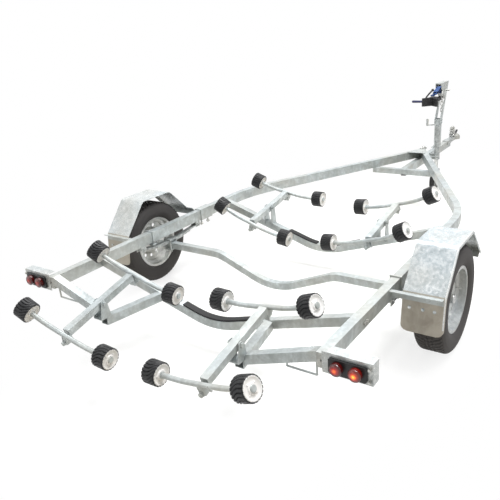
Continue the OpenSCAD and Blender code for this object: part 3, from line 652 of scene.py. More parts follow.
@dataclass
class Bench:
    """The loaded frame, and the ways in which a shell becomes a piece on it."""

    frame: dict[str, Any]

    def box(self, node: str) -> tuple[Array, Array]:
        """Lowest and highest corner of a node of the frame."""
        low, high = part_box(node)
        return np.array(low), np.array(high)

    def joint(self, name: str) -> tuple[Array, Array]:
        """A joint's point and its axis at length one."""
        found = next(j for j in self.frame["joints"] if j["name"] == name)
        return np.array(found["pos_m"], float), unit(found["axis"])

    def put(self, name: str, shell: Shell, finish: Finish, body: str,
            replaces: Sequence[str] = (), sharp: float = 34.0) -> bpy.types.Object:
        """Makes a shell a piece that rides on a body.

        Args:
            name: the piece's name.
            shell: its points and faces.
            finish: what it is made of.
            body: the body of the frame that carries it.
            replaces: the nodes that it stands for.
            sharp: edges turning by more than this many degrees stay sharp.

        Returns:
            The piece.
        """
        mesh = bpy.data.meshes.new(name)
        mesh.from_pydata(shell.points.tolist(), [], shell.faces)
        work = bmesh.new()
        work.from_mesh(mesh)
        bmesh.ops.recalc_face_normals(work, faces=work.faces)
        work.to_mesh(mesh)
        work.free()
        return self.finished(name, mesh, finish, body, replaces, sharp)

    def finished(self, name: str, mesh: bpy.types.Mesh, finish: Finish, body: str,
                 replaces: Sequence[str], sharp: float) -> bpy.types.Object:
        """Smooths and dresses a mesh, and says what it rides on and stands for.

        Args:
            name: the piece's name.
            mesh: its mesh.
            finish: what it is made of.
            body: the body that carries it.
            replaces: the nodes that it stands for.
            sharp: edges turning by more than this many degrees stay sharp.

        Returns:
            The piece.
        """
        mesh.shade_smooth()
        mesh.set_sharp_from_angle(angle=math.radians(sharp))
        mesh.materials.append(finish.material())
        piece = bpy.data.objects.new(name, mesh)
        bpy.context.scene.collection.objects.link(piece)
        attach(piece, body)
        if replaces:
            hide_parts(*replaces)
        log.info("%s: %d faces on %s", name, len(mesh.polygons), body)
        return piece

    def dress(self, node: str, finish: Finish, body: str,
              edge_mm: float = 1.5) -> bpy.types.Object:
        """Stands a copy of a node in its place, merged, with its edges rounded by a bevel.

        Args:
            node: the node to copy.
            finish: what the copy is made of.
            body: the body that carries it.
            edge_mm: radius of the rounded edges.

        Returns:
            The piece.
        """
        source = self.frame["nodes"][node].data
        points = np.zeros(len(source.vertices) * 3, np.float32)
        source.vertices.foreach_get("co", points)
        mesh = bpy.data.meshes.new(node + "_skin")
        mesh.from_pydata(points.reshape(-1, 3).tolist(), [], [tuple(p.vertices) for p in source.polygons])
        work = bmesh.new()
        work.from_mesh(mesh)
        bmesh.ops.remove_doubles(work, verts=work.verts, dist=0.02 * MM)
        bmesh.ops.dissolve_limit(work, angle_limit=math.radians(0.6), verts=work.verts, edges=work.edges)
        work.to_mesh(mesh)
        work.free()
        piece = self.finished(node + "_skin", mesh, finish, body, [node], 34.0)
        if edge_mm:
            bevel = piece.modifiers.new("edges", "BEVEL")
            bevel.width, bevel.segments, bevel.limit_method = edge_mm * MM, 2, "ANGLE"
            bevel.angle_limit, bevel.harden_normals = math.radians(40), True
        return piece


@dataclass
class Chassis:
    """Side rails, front rails, drawbar, crossmembers and their brackets and bolts."""

    bolt_d: float = 0.012
    rail_w: float = 0.05
    rail_h: float = 0.075
    rail_t: float = 0.003
    sleeve_t: float = 0.006
    cap_t: float = 0.002
    sleeve_bolts: tuple[float, float] = (0.110, 0.030)
    cross_z: float = 0.43
    apex_x: tuple[float, float] = (3.95, 4.02)
    apex_y: float = 0.012
    nut_in: float = 0.031
    nut_below: float = 0.004
    cross_bolt_d: float = 0.01
    cross_in: float = 0.012

    def build(self, bench: Bench) -> None:
        """Dresses the frame's tubes and adds the bolts that hold them.

        Args:
            bench: the frame, and what puts pieces on it.
        """
        for side in Side:
            bench.dress(f"{side.word}_side_rail", TUBE_ZINC, "frame", edge_mm=1.2)
            bench.dress(f"{side.word}_front_rail", TUBE_ZINC, "frame", edge_mm=1.2)
        for node in ("drawbar", "rear_crossmember", "front_crossmember", "rear_outriggers"):
            bench.dress(node, TUBE_ZINC, "frame", edge_mm=2.0)
        bench.dress("rocker_brackets", TUBE_ZINC, "frame", edge_mm=0.8)
        bench.dress("keel_pads", PAD_RUBBER, "frame", edge_mm=2.0)
        bench.put("chassis_bolts", self.bolts(bench), BRIGHT_ZINC, "frame")
        bench.put("rail_end_caps", self.end_caps(bench), DULL_ZINC, "frame")

    def end_caps(self, bench: Bench) -> Shell:
        """Plates that close the side rails' rear ends, each with a bolt in its middle.

        Args:
            bench: where the rails are.

        Returns:
            Both plates and bolts as one shell.
        """
        box_low, box_high = bench.box("left_side_rail")
        y = box_high[1] - self.sleeve_t - self.rail_w / 2
        z = bench.box("left_front_rail")[1][2] - self.rail_h / 2
        shells = []
        for side in Side:
            place = placement((box_low[0] + self.cap_t, side.value * y, z), BACK, LEFT)
            inside = (self.rail_w - 2 * self.rail_t, self.rail_h - 2 * self.rail_t)
            shells += [slab(rounded(*inside, 0.004), self.cap_t, 0.0006).placed(place),
                       disc(0.0055, self.cap_t - 0.001, self.cap_t, 20).placed(place)]
        return joined(shells)

    def bolts(self, bench: Bench) -> Shell:
        """Bolts through the sleeves' undersides, the crossmembers' ends and the drawbar's apex.

        Args:
            bench: where the nodes are.

        Returns:
            All the bolts as one shell.
        """
        low, high = bench.box("left_side_rail")
        shells = []
        nut = bolt(self.bolt_d, 0.0, True)
        for side in Side:
            rail_y = side.value * (high[1] - self.nut_in)
            for back in self.sleeve_bolts:
                shells.append(nut.placed(placement((high[0] - back, rail_y, low[2] - self.nut_below),
                                                   DOWN, AHEAD)))
            for node in ("rear_crossmember", "front_crossmember"):
                a, b = bench.box(node)
                for x in (a[0] + self.cross_in, b[0] - self.cross_in):
                    shells.append(bolt(self.cross_bolt_d, self.rail_t).placed(placement(
                        (x, side.value * high[1], self.cross_z), (0, side.value, 0), AHEAD)))
        top = bench.box("drawbar")[1][2]
        for x in self.apex_x:
            for y in (-self.apex_y, self.apex_y):
                shells.append(bolt(self.bolt_d, 0.004).placed(shift(x + low[0], y, top)))
        return joined(shells)


@dataclass
class RollerCradles:
    """Four rockers, eight bars and sixteen keel rollers."""

    bar_r: float = 0.0135
    pin_drop: float = 0.042
    bend: float = math.radians(12)
    blend_in: float = 0.085
    roller_r: float = 0.06
    roller_w: float = 0.08
    hub_r: float = 0.0530
    bore_r: float = 0.0138
    collar_r: float = 0.0165
    cap_back: float = 0.0225
    cap_w: float = 0.0385
    cap_h: float = 0.0345
    cap_t: float = 0.002
    ribs: int = 20
    rib_depth: float = 0.0050

    def build(self, bench: Bench) -> None:
        """Dresses the rockers and builds every bar and roller at its joint.

        Args:
            bench: the frame, and what puts pieces on it.
        """
        tread, hub = self.tread(), self.hub()
        for side in Side:
            for cradle in Cradle:
                rocker = f"{side.word}_{cradle.value}"
                bench.dress(f"{rocker}_rocker", TUBE_ZINC, f"{rocker}_rocker", edge_mm=1.0)
                pins = [bench.joint(f"{rocker}_{end.name.lower()}_bar_roll") for end in End]
                bench.put(f"{rocker}_rocker_caps", self.caps(pins), TUBE_ZINC, f"{rocker}_rocker")
                for end in End:
                    bar = f"{rocker}_{end.name.lower()}"
                    spins = {r: bench.joint(f"{bar}_{r.value}_roller_spin") for r in Reach}
                    pin, axis = bench.joint(f"{bar}_bar_roll")
                    self.build_bar(bench, bar, pin, axis, spins)
                    for reach, (centre, spin) in spins.items():
                        name = f"{bar}_{reach.value}_roller"
                        outward = spin * np.sign(np.dot(spin, centre - pin))
                        place = placement(centre, outward, axis)
                        bench.put(f"{name}_tread", tread.placed(place), TREAD_RUBBER, name,
                                  [name], 50)
                        bench.put(f"{name}_hub", hub.placed(place), HUB_NYLON, name, (), 40)

    def caps(self, pins: Sequence[tuple[Array, Array]]) -> Shell:
        """Plates that close a rocker's two ends, set just inside its tube.

        Args:
            pins: the points and axes of the rocker's two bars.

        Returns:
            Both plates as one shell.
        """
        (a, axis), (b, _) = pins
        level = np.array([0.0, 1.0, 0.0])
        lift = unit(np.cross(axis, level))
        middle = (a + b) / 2 + self.pin_drop * lift * np.sign(lift[2])
        reach = np.linalg.norm(b - a) / 2 - self.cap_back
        plate = slab(rounded(self.cap_w, self.cap_h, 0.003), self.cap_t, 0.0006)
        out = (reach - self.cap_t) * axis
        return joined([plate.placed(placement(middle + way * out, way * axis, level))
                       for way in (-1, 1)])

    def tread(self) -> Shell:
        """The roller's rubber tyre along Z: the groove's depth follows the fraction of
        ribs * angle / turn + slant * height + bow * cos(height), so the ribs run across in a
        slanting curve.

        Returns:
            A closed ring.
        """
        half, r = self.roller_w / 2, self.roller_r
        outer = np.linspace(-half + 0.005, half - 0.005, 18)
        profile = np.vstack([[[self.hub_r, -half + 0.002], [r - 0.005, -half + 0.0005],
                              [r - 0.0015, -half + 0.002]],
                             np.column_stack([np.full(18, r), outer]),
                             [[r - 0.0015, half - 0.002], [r - 0.005, half - 0.0005],
                              [self.hub_r, half - 0.002], [self.hub_r, 0.0]]])
        steps = self.ribs * 9
        along = np.clip(profile[:, 1] / half, -1, 1)[:, None]
        turn = np.linspace(0, self.ribs, steps, endpoint=False)[None]
        phase = (turn + 0.9 * along + 0.35 * np.cos(math.pi * along)) % 1.0
        groove = np.clip((np.abs(2 * phase - 1) - 0.68) / 0.16, 0, 1)
        deep = np.where(profile[:, :1] > r - 0.006, self.rib_depth, 0) * np.ones((1, steps))
        return lathe(profile, steps, True, groove * deep)

    def hub(self) -> Shell:
        """The white hub along Z: a ring profile with a dished disc on each face and a raised
        boss round the bar, and four small bolts on each face.

        Returns:
            One shell of the hub and its bolts.
        """
        half, b = self.roller_w / 2, self.bore_r
        face = np.array([[b, 0.0], [b + 0.009, 0.0], [b + 0.010, -0.002], [b + 0.012, -0.006],
                         [0.032, -0.0068], [0.043, -0.0045], [0.047, -0.0015], [0.0485, -0.0005],
                         [self.hub_r, -0.0012]])
        top = np.column_stack([face[:, 0], half + face[:, 1]])
        low = np.column_stack([face[::-1, 0], -half - face[::-1, 1]])
        body = lathe(np.vstack([top, low]), 72, True)
        small = slab(ring(0.0042, 6), 0.0045, 0.0004)
        turn = full_turn(4) + 0.4
        bolts = [small.placed(shift(0.03 * math.cos(t), 0.03 * math.sin(t), z))
                 for t in turn for z in (half - 0.0075, -half + 0.003)]
        return joined([body, *bolts])

    def build_bar(self, bench: Bench, name: str, pin: Array, axis: Array,
                  spins: dict[Reach, tuple[Array, Array]]) -> None:
        """One bar: straight middle, gentle bends, straight ends through the rollers.

        Each bend is a curve a(1-t)^2 + 2b t(1-t) + c t^2 that starts along the middle and ends
        along the roller's axle.

        Args:
            bench: puts the pieces.
            name: the bar's name without its last word.
            pin: the point that the bar rocks about.
            axis: the line that it rocks about.
            spins: each roller's centre and axle.
        """
        inner, outer = spins[Reach.INNER][0], spins[Reach.OUTER][0]
        along = unit(outer - inner)
        middle = (inner + outer) / 2
        lift = unit(np.cross(axis, along))
        lift = lift * np.sign(lift[2])
        reach = np.linalg.norm(outer - inner) / 2
        rise = np.dot(middle - pin, lift) - self.pin_drop
        knee = reach - rise / math.tan(self.bend)
        end = reach + (self.roller_w / 2 + 0.007) * math.cos(self.bend)
        t = np.linspace(0, 1, 14)[:, None]
        a = np.array([knee - self.blend_in, 0.0])
        b = np.array([knee, 0.0])
        c = b + self.blend_in * np.array([math.cos(self.bend), math.sin(self.bend)])
        tip = np.array([end, (end - knee) * math.tan(self.bend)])
        half = np.vstack([[[0.0, 0.0]], a * (1 - t) ** 2 + 2 * b * t * (1 - t) + c * t ** 2, tip])
        flat = np.vstack([half[:0:-1] * [-1, 1], half])
        path = pin + self.pin_drop * lift + flat[:, :1] * along + flat[:, 1:] * lift
        shells = [sweep(path, ring(self.bar_r, 24), axis)]
        for centre, spin in spins.values():
            place = placement(centre, spin, axis)
            for low in (-self.roller_w / 2 - 0.0055, self.roller_w / 2 + 0.0005):
                shells.append(disc(self.collar_r, low, low + 0.005, 32).placed(place))
        shells.append(disc(0.015, -0.02, 0.02, 32).placed(placement(pin, axis, along)))
        lug = slab(rounded(0.028, 0.024, 0.004), 0.03, 0.001)
        shells.append(lug.placed(placement(pin + 0.008 * lift, lift, axis)))
        for way in (-1, 1):
            strap = slab(rounded(0.03, 0.05, 0.006), 0.004, 0.0008)
            place = placement(pin + 0.012 * lift + 0.0125 * way * along, along * way, axis)
            shells.append(strap.placed(place))
        bench.put(f"{name}_bar_skin", joined(shells), TUBE_ZINC, f"{name}_bar",
                  [f"{name}_bar"])


@dataclass
class RunningGear:
    """Axle, leaf springs, road wheels and mudguards."""

    tyre_r: float = 0.305
    tyre_w: float = 0.175
    rim_r: float = 0.19
    bead: float = 0.065
    blocks: int = 64
    groove: float = 0.0065
    guard_t: float = 0.003
    lip: float = 0.018
    bead_r: float = 0.0055
    fold_r: float = 0.022
    flap_corner: float = 0.035
    guard_bolt_d: float = 0.008
    guard_bolts_y: tuple[float, ...] = (-0.07, 0.0, 0.06)
    folds: tuple[tuple[float, float], ...] = ((-0.352, 0.250), (-0.326, 0.458), (-0.141, 0.670),
                                              (0.141, 0.668), (0.339, 0.472))

    def build(self, bench: Bench) -> None:
        """Dresses the steel and builds the tyres and the mudguards.

        Args:
            bench: the frame, and what puts pieces on it.
        """
        bench.dress("axle", TUBE_ZINC, "frame", edge_mm=2.0)
        bench.dress("mudguard_brackets", TUBE_ZINC, "frame", edge_mm=0.8)
        tyre, centre = self.tyre(), bench.joint("left_wheel_spin")[0]
        guard = self.mudguard(bench, centre)
        for side in Side:
            word, flip = side.word, side is Side.RIGHT
            bench.dress(f"{word}_leaf_spring", DULL_ZINC, "frame", edge_mm=0.8)
            bench.dress(f"{word}_rim", WHEEL_ZINC, f"{word}_wheel", edge_mm=0.8)
            place = placement(bench.joint(f"{word}_wheel_spin")[0], (0, side.value, 0), AHEAD)
            bench.put(f"{word}_tyre_skin", tyre.placed(place), ROAD_RUBBER, f"{word}_wheel",
                      [f"{word}_tyre"], 40)
            bench.put(f"{word}_wheel_cap", self.cap().placed(place), BRIGHT_ZINC, f"{word}_wheel")
            # The flap's finish carries a painted reflection of the ground, and the edge's finish a
            # painted highlight
            for (kind, shell), finish in zip(guard.items(), (SHEET_ZINC, GROUND_REFLECTION_ZINC, HIGHLIGHT_EDGE_ZINC)):
                stands_for = [f"{word}_mudguard"] if finish is SHEET_ZINC else ()
                bench.put(f"{word}_mudguard_{kind}", mirrored(shell) if flip else shell, finish,
                          "frame", stands_for, 30)

    def tyre(self) -> Shell:
        """The tyre about Z. The tread's depth is the larger of two zigzag grooves that run
        round and of slanting slots between the blocks; the sidewall carries plain raised rings.

        Returns:
            A closed ring, hollow inside.
        """
        r, half, rim = self.tyre_r, self.tyre_w / 2, self.rim_r
        wall = softened(np.array([[rim - 0.013, self.bead], [rim, self.bead],
                                  [rim + 0.006, self.bead + 0.009], [rim + 0.028, half - 0.004],
                                  [rim + 0.052, half], [r - 0.030, half - 0.003],
                                  [r - 0.012, half - 0.012], [r - 0.003, half - 0.022],
                                  [r, half - 0.034]]), 2)
        rings = 0.0012 * (np.abs(((wall[:, 0] - rim) * 1000) % 14 - 7) < 1.6) * (wall[:, 0] > rim + 0.02)
        wall[:, 1] -= rings
        crown = np.linspace(half - 0.034, -half + 0.034, 27)[1:-1]
        crown = np.column_stack([np.full(len(crown), r), crown])
        inside = np.array([[rim - 0.013, self.bead - 0.014], [rim + 0.02, half - 0.018],
                           [r - 0.014, half - 0.03], [r - 0.014, -half + 0.03],
                           [rim + 0.02, -half + 0.018], [rim - 0.013, -self.bead + 0.014]])
        profile = np.vstack([wall, crown, wall[::-1] * [1, -1], inside[::-1]])
        steps = self.blocks * 8
        turn = np.linspace(0, self.blocks, steps, endpoint=False)[None]
        along = profile[:, 1:2]
        wave = 0.0035 * (2 * np.abs((turn % 1.0) - 0.5) - 0.5)
        round_ = [np.clip(1.6 - np.abs(along - at - wave) / 0.0024, 0, 1) for at in (-0.022, 0.0, 0.022)]
        lean = np.sign(along) * along / 0.05
        slot = np.clip((np.abs(2 * ((turn + 1.1 * lean) % 1.0) - 1) - 0.62) / 0.12, 0, 1)
        tread = (profile[:, :1] > r - 0.011) & (np.arange(len(profile))[:, None] < len(profile) - 6)
        relief = np.maximum(np.maximum.reduce(round_), slot) * self.groove * tread
        return lathe(profile, steps, True, relief)

    def cap(self) -> Shell:
        """Grease cap over the hub, and the valve in the rim.

        Returns:
            One shell.
        """
        dome = softened(np.array([[0.027, 0.030], [0.027, 0.048], [0.024, 0.056], [0.001, 0.058]]), 2)
        valve = disc(0.005, 0.0, 0.03, 12).placed(placement((0.14, 0.0, 0.02), (0.25, 0, 1), LEFT))
        return joined([lathe(dome, 40), valve])

    def outline(self, centre: Array) -> Array:
        """The mudguard's folded line from rear flap to front foot. Each fold is rounded by the
        curve a(1 - t)^2 + 2bt(1 - t) + ct^2 between points a and c beside the fold's point b.

        Args:
            centre: the wheel's centre.

        Returns:
            Rows of x and z.
        """
        folds = np.array(self.folds) + [centre[0], 0.0]
        near = []
        for i in range(1, len(folds) - 1):
            back, on = unit(folds[i - 1] - folds[i]), unit(folds[i + 1] - folds[i])
            t = np.linspace(0, 1, 6)[:, None]
            near.append((folds[i] + self.fold_r * back) * (1 - t) ** 2 + 2 * folds[i] * t * (1 - t)
                        + (folds[i] + self.fold_r * on) * t ** 2)
        return np.vstack([folds[:1], *near, folds[-1:]])

    def mudguard(self, bench: Bench, centre: Array) -> dict[str, Shell]:
        """The left mudguard: a flat section with a turned-down lip carried along the folded
        line, drawn in to round the flap's lower corners by r - sqrt(r^2 - (r - s)^2).

        Args:
            bench: where the node is.
            centre: the wheel's centre.

        Returns:
            The panels with their bolts, the flap and the rolled edge, by name.
        """
        low, high = bench.box("left_mudguard")
        line = spaced(self.outline(centre), 0.006)
        path = np.column_stack([line[:, 0], np.full(len(line), (low[1] + high[1]) / 2), line[:, 1]])
        h, t, r = (high[1] - low[1]) / 2, self.guard_t, 0.007
        turn = np.linspace(0, math.pi / 2, 5)
        outer = np.column_stack([h - r + r * np.sin(turn), -r + r * np.cos(turn)])
        inner = np.column_stack([h - r + (r - t) * np.sin(turn), -r + (r - t) * np.cos(turn)])
        section = np.vstack([[[-h, 0]], outer, [[h, -self.lip], [h - t, -self.lip]], inner[::-1],
                             [[-h, -t]]])
        corner = self.flap_corner
        along = np.concatenate([[0], np.cumsum(np.linalg.norm(np.diff(line, axis=0), axis=1))])
        gone = np.clip(corner - along, 0, corner)
        inset = (corner - np.sqrt(corner ** 2 - gone ** 2))[:, None]
        shapes = np.repeat(section[None], len(path), 0)
        shapes[..., 0] = np.clip(shapes[..., 0], -h + inset, h - inset)
        across = np.array([0.0, 1.0, 0.0])
        lift = unit(np.cross(unit(np.gradient(path, axis=0)), across))
        # Lift points away from the wheel, which is up in the middle of the line
        lift = lift * np.sign(lift[len(lift) // 2, 2])
        grid = path[:, None] + shapes[..., :1] * across + shapes[..., 1:] * lift[:, None]
        flap_end = int(np.argmax(path[:, 2] > self.folds[1][1]))
        edge_at = path[7:] + (h - self.bead_r) * across - self.bead_r * lift[7:]
        rolled = sweep(edge_at, ring(self.bead_r, 12), LEFT)
        bolts = [bolt(self.guard_bolt_d, self.guard_t).placed(placement(path[k] + off * across,
                  lift[k], across))
                 for k in (22, len(path) - 4) for off in self.guard_bolts_y]
        return {"panels": joined([skin(grid[flap_end:]), *bolts]), "flap": skin(grid[:flap_end + 1]),
                "edge": rolled}


@dataclass
class TailLights:
    """Plates, lamp bases and round lenses at the back."""

    base_w: float = 0.176
    base_t: float = 0.012
    lens_r: float = 0.03
    lens_at: tuple[float, float] = (0.044, 0.130)
    bolt_d: float = 0.006
    bolt_in: float = 0.033
    bolt_out: float = 0.010
    bolt_rise: float = 0.03
    plate_t: float = 0.004

    def build(self, bench: Bench) -> None:
        """Dresses the plates and builds each lamp's base and lenses.

        Args:
            bench: the frame, and what puts pieces on it.
        """
        bench.dress("light_brackets", SHEET_ZINC, "frame", edge_mm=0.8)
        low, high = bench.box("tail_lamps")
        z, back = (low[2] + high[2]) / 2, high[0]
        height = high[2] - low[2]
        for side in Side:
            inner_y = high[1] - self.base_w
            centre = (back, side.value * (inner_y + self.base_w / 2), z)
            place = placement(centre, BACK, LEFT)
            base = slab(rounded(self.base_w, height, 0.012), self.base_t, 0.002)
            bench.put(f"{side.word}_lamp_base", base.placed(place), LAMP_BLACK, "frame",
                      ["tail_lamps"] if side is Side.LEFT else ())
            lit = side is Side.RIGHT
            lenses = (("stop", LIT_LENS if lit else RED_LENS), ("turn", AMBER_LENS if lit else RED_LENS))
            for at, (kind, finish) in zip(self.lens_at, lenses):
                spot = placement((back - self.base_t, side.value * (inner_y + at), z), BACK,
                                 LEFT)
                shell, share = self.lens()
                piece = bench.put(f"{side.word}_lamp_{kind}_lens", shell.placed(spot), finish, "frame")
                layer = piece.data.attributes.new("rim_share", "FLOAT", "POINT")
                layer.data.foreach_set("value", share.astype(np.float32))
        bolts = [bolt(self.bolt_d, self.plate_t).placed(placement(
            (low[0] + self.bolt_in, side.value * (high[1] + self.bolt_out), z + rise), BACK, LEFT))
            for side in Side for rise in (-self.bolt_rise, self.bolt_rise)]
        bench.put("light_plate_bolts", joined(bolts), BRIGHT_ZINC, "frame")

    def lens(self) -> tuple[Shell, Array]:
        """A round lens along Z with rings: height = drum then dome, radius less a small ripple.

        Returns:
            The closed shell, and each point's share of the radius.
        """
        t = np.linspace(0, 1, 22)
        drum = np.column_stack([np.full(8, self.lens_r), np.linspace(0, 0.017, 8)])
        dome = np.column_stack([self.lens_r * np.cos(t * math.pi / 2) + 0.0004,
                                0.018 + 0.011 * np.sin(t * math.pi / 2) + 0.0006 * np.sin(t * 44)])
        profile = np.vstack([drum, dome])
        steps = 60
        flutes = 0.0007 * (np.cos(np.linspace(0, 30 * 2 * math.pi, steps, endpoint=False))[None] > 0)
        relief = flutes * (np.arange(len(profile))[:, None] < 7)
        share = np.repeat(profile[:, 0] / self.lens_r, steps)
        share[:7 * steps] = 1.1
        return lathe(profile, steps, False, relief), share


@dataclass
class Nose:
    """Coupling, safety chain, winch post, winch and bow stop."""

    drum_r: float = 0.042
    crank_y: float = 0.090
    grip_r: float = 0.013
    teeth: int = 28
    link_r: float = 0.0048
    link_half: float = 0.0225
    link_w: float = 0.0115
    heap_links: int = 26
    hook_links: int = 6
    strap_turns: float = 3.4

    def build(self, bench: Bench) -> None:
        """Dresses the coupling and the post, and builds what they carry.

        Args:
            bench: the frame, and what puts pieces on it.
        """
        bench.dress("coupling", DULL_ZINC, "frame", edge_mm=2.0)
        bench.dress("winch_post", TUBE_ZINC, "frame", edge_mm=1.0)
        bench.dress("bow_stop", BLOCK_RUBBER, "frame", edge_mm=3.0)
        high = bench.box("coupling")[1]
        a = np.array([high[0] - 0.150, 0, high[2] - 0.034])
        grip = np.array([a, a + [0.05, 0, 0.004], a + [0.105, 0, 0.014], a + [0.135, 0, 0.032]])
        bench.put("coupling_grip", sweep(softened(grip, 3), rounded(0.024, 0.016, 0.006), UP),
                  LAMP_BLACK, "frame")
        bench.put("safety_chain_links", self.chain(bench), BRIGHT_ZINC, "frame",
                  ["safety_chain"])
        self.build_winch(bench)

    def link(self) -> Shell:
        """One chain link in the XY plane: a rod carried round two straights and two half circles.

        Returns:
            A closed shell.
        """
        turn = full_turn(20)
        path = np.column_stack([self.link_w * np.cos(turn), self.link_w * np.sin(turn)
                                + np.sign(np.sin(turn)) * (self.link_half - self.link_w), 0 * turn])
        return sweep(path, ring(self.link_r, 8), UP, True)

    def chain(self, bench: Bench) -> Shell:
        """A heap of links along a rising coil: link i stands at angle 0.95 i, a little higher and
        further in than the one before, and every other link is tipped on its side.

        Args:
            bench: where the chain is.

        Returns:
            All the links as one shell.
        """
        low, high = bench.box("safety_chain")
        middle, link, shells = (low + high) / 2, self.link(), []
        for i in range(self.heap_links):
            share = i / (self.heap_links - 1)
            angle = 0.95 * i
            radius = 0.021 * (1 - 0.6 * share)
            spot = [middle[0] + radius * math.cos(angle), radius * math.sin(angle),
                    low[2] + 0.008 + (high[2] - low[2] - 0.02) * share]
            ahead = np.array([-math.sin(angle), math.cos(angle), 0.35 * math.sin(1.7 * i)])
            tilt = (math.cos(angle) * (i % 2), math.sin(angle) * (i % 2), 1.0 - 0.8 * (i % 2))
            place = placement(spot, tilt, np.cross(ahead, tilt))
            shells.append(link.placed(place))
        return joined(shells)

    def build_winch(self, bench: Bench) -> None:
        """Drum, gears, strap, crank and grip between the post's head plates.

        Args:
            bench: where the winch and the bow stop are.
        """
        low, high = bench.box("winch")
        axis = np.array([high[0] - self.drum_r, 0.0, high[2] - self.drum_r])
        hub = placement(axis, LEFT, AHEAD)
        drum = [disc(0.009, -self.crank_y, self.crank_y, 24),
                disc(self.drum_r - 0.001, -0.0245, -0.0215, 48),
                disc(self.drum_r - 0.001, 0.0215, 0.0245, 48)]
        turn = full_turn(self.teeth * 4)
        tip = self.drum_r - 0.002 + 0.002 * np.sign(np.sin(self.teeth * turn))
        cog = tip[:, None] * np.column_stack([np.cos(turn), np.sin(turn)])
        gear = slab(cog, 0.008, 0.0006).placed(shift(0, 0, 0.036))
        pinion = slab(cog * 0.34, 0.02, 0.0006).placed(shift(-0.05, 0.01, 0.036))
        bench.put("winch_gears", joined([*drum, gear, pinion]).placed(hub), BRIGHT_ZINC, "frame",
                  ["winch"])
        self.build_strap(bench, axis, hub)
        end = np.array([low[0] + self.grip_r, self.crank_y, low[2] + self.grip_r])
        start = axis + [0, self.crank_y, 0]
        middle = (start + end) / 2 + [0, 0, 0.012]
        arm = sweep(softened(np.array([start, middle, end]), 2), rounded(0.006, 0.022, 0.002), UP)
        nut = bolt(0.012, 0.006).placed(placement(start + [0, 0.004, 0], LEFT, AHEAD))
        bench.put("winch_crank", joined([arm, nut]), LAMP_BLACK, "frame")
        length = high[1] - self.crank_y
        grip = softened(np.array([[0.009, 0.0], [self.grip_r, 0.004], [0.0115, 0.03], [0.0125, 0.07],
                                  [self.grip_r, length - 0.006], [0.008, length]]), 2)
        bench.put("winch_grip", lathe(grip, 28).placed(placement(end, LEFT, AHEAD)),
                  GRIP_VINYL, "frame")

    def build_strap(self, bench: Bench, axis: Array, hub: Array) -> None:
        """The strap: radius grows evenly with the angle on the drum, and its slack end lies in
        loose folds from the drum to the bow stop, with a short chain of links hanging below.

        Args:
            bench: where the bow stop is.
            axis: the drum's middle.
            hub: the drum's place.
        """
        turn = np.linspace(0, 2 * math.pi * self.strap_turns, 170)
        radius = 0.02 + 0.0042 * turn / (2 * math.pi)
        coil = np.column_stack([radius * np.cos(turn), radius * np.sin(turn), 0 * turn])
        wound = sweep(coil, rounded(0.0036, 0.040, 0.0012, 3), UP).placed(hub)
        away = (axis[0] - bench.box("bow_stop")[0][0]) * 0.62
        folds = []
        lifts_slides = ((0.040, 0.0), (0.024, 0.012), (0.052, -0.010), (0.008, 0.006))
        for k, (lift, slide) in enumerate(lifts_slides):
            t = np.linspace(0, 1, 9)[:, None]
            wave = 0.012 * np.sin(2 * math.pi * (1.6 * t + 0.23 * k))
            line = np.hstack([axis[0] - 0.02 - away * t, slide + 0.010 * np.sin(5 * t + k),
                              axis[2] + lift - 0.045 * t ** 2 + wave])
            folds.append(sweep(softened(line, 2), rounded(0.040, 0.0034, 0.0012, 3), (0, 0.02, 1)))
        bench.put("winch_strap", joined([wound, *folds]), STRAP_WEBBING, "frame")
        links, link = [], self.link()
        for k in range(self.hook_links):
            spot = (axis[0] - 0.052, -0.028, axis[2] - 0.03 - 0.034 * k)
            links.append(link.placed(placement(spot, AHEAD if k % 2 else LEFT,
                                               LEFT if k % 2 else AHEAD)))
        bench.put("winch_chain", joined(links), BRIGHT_ZINC, "frame")


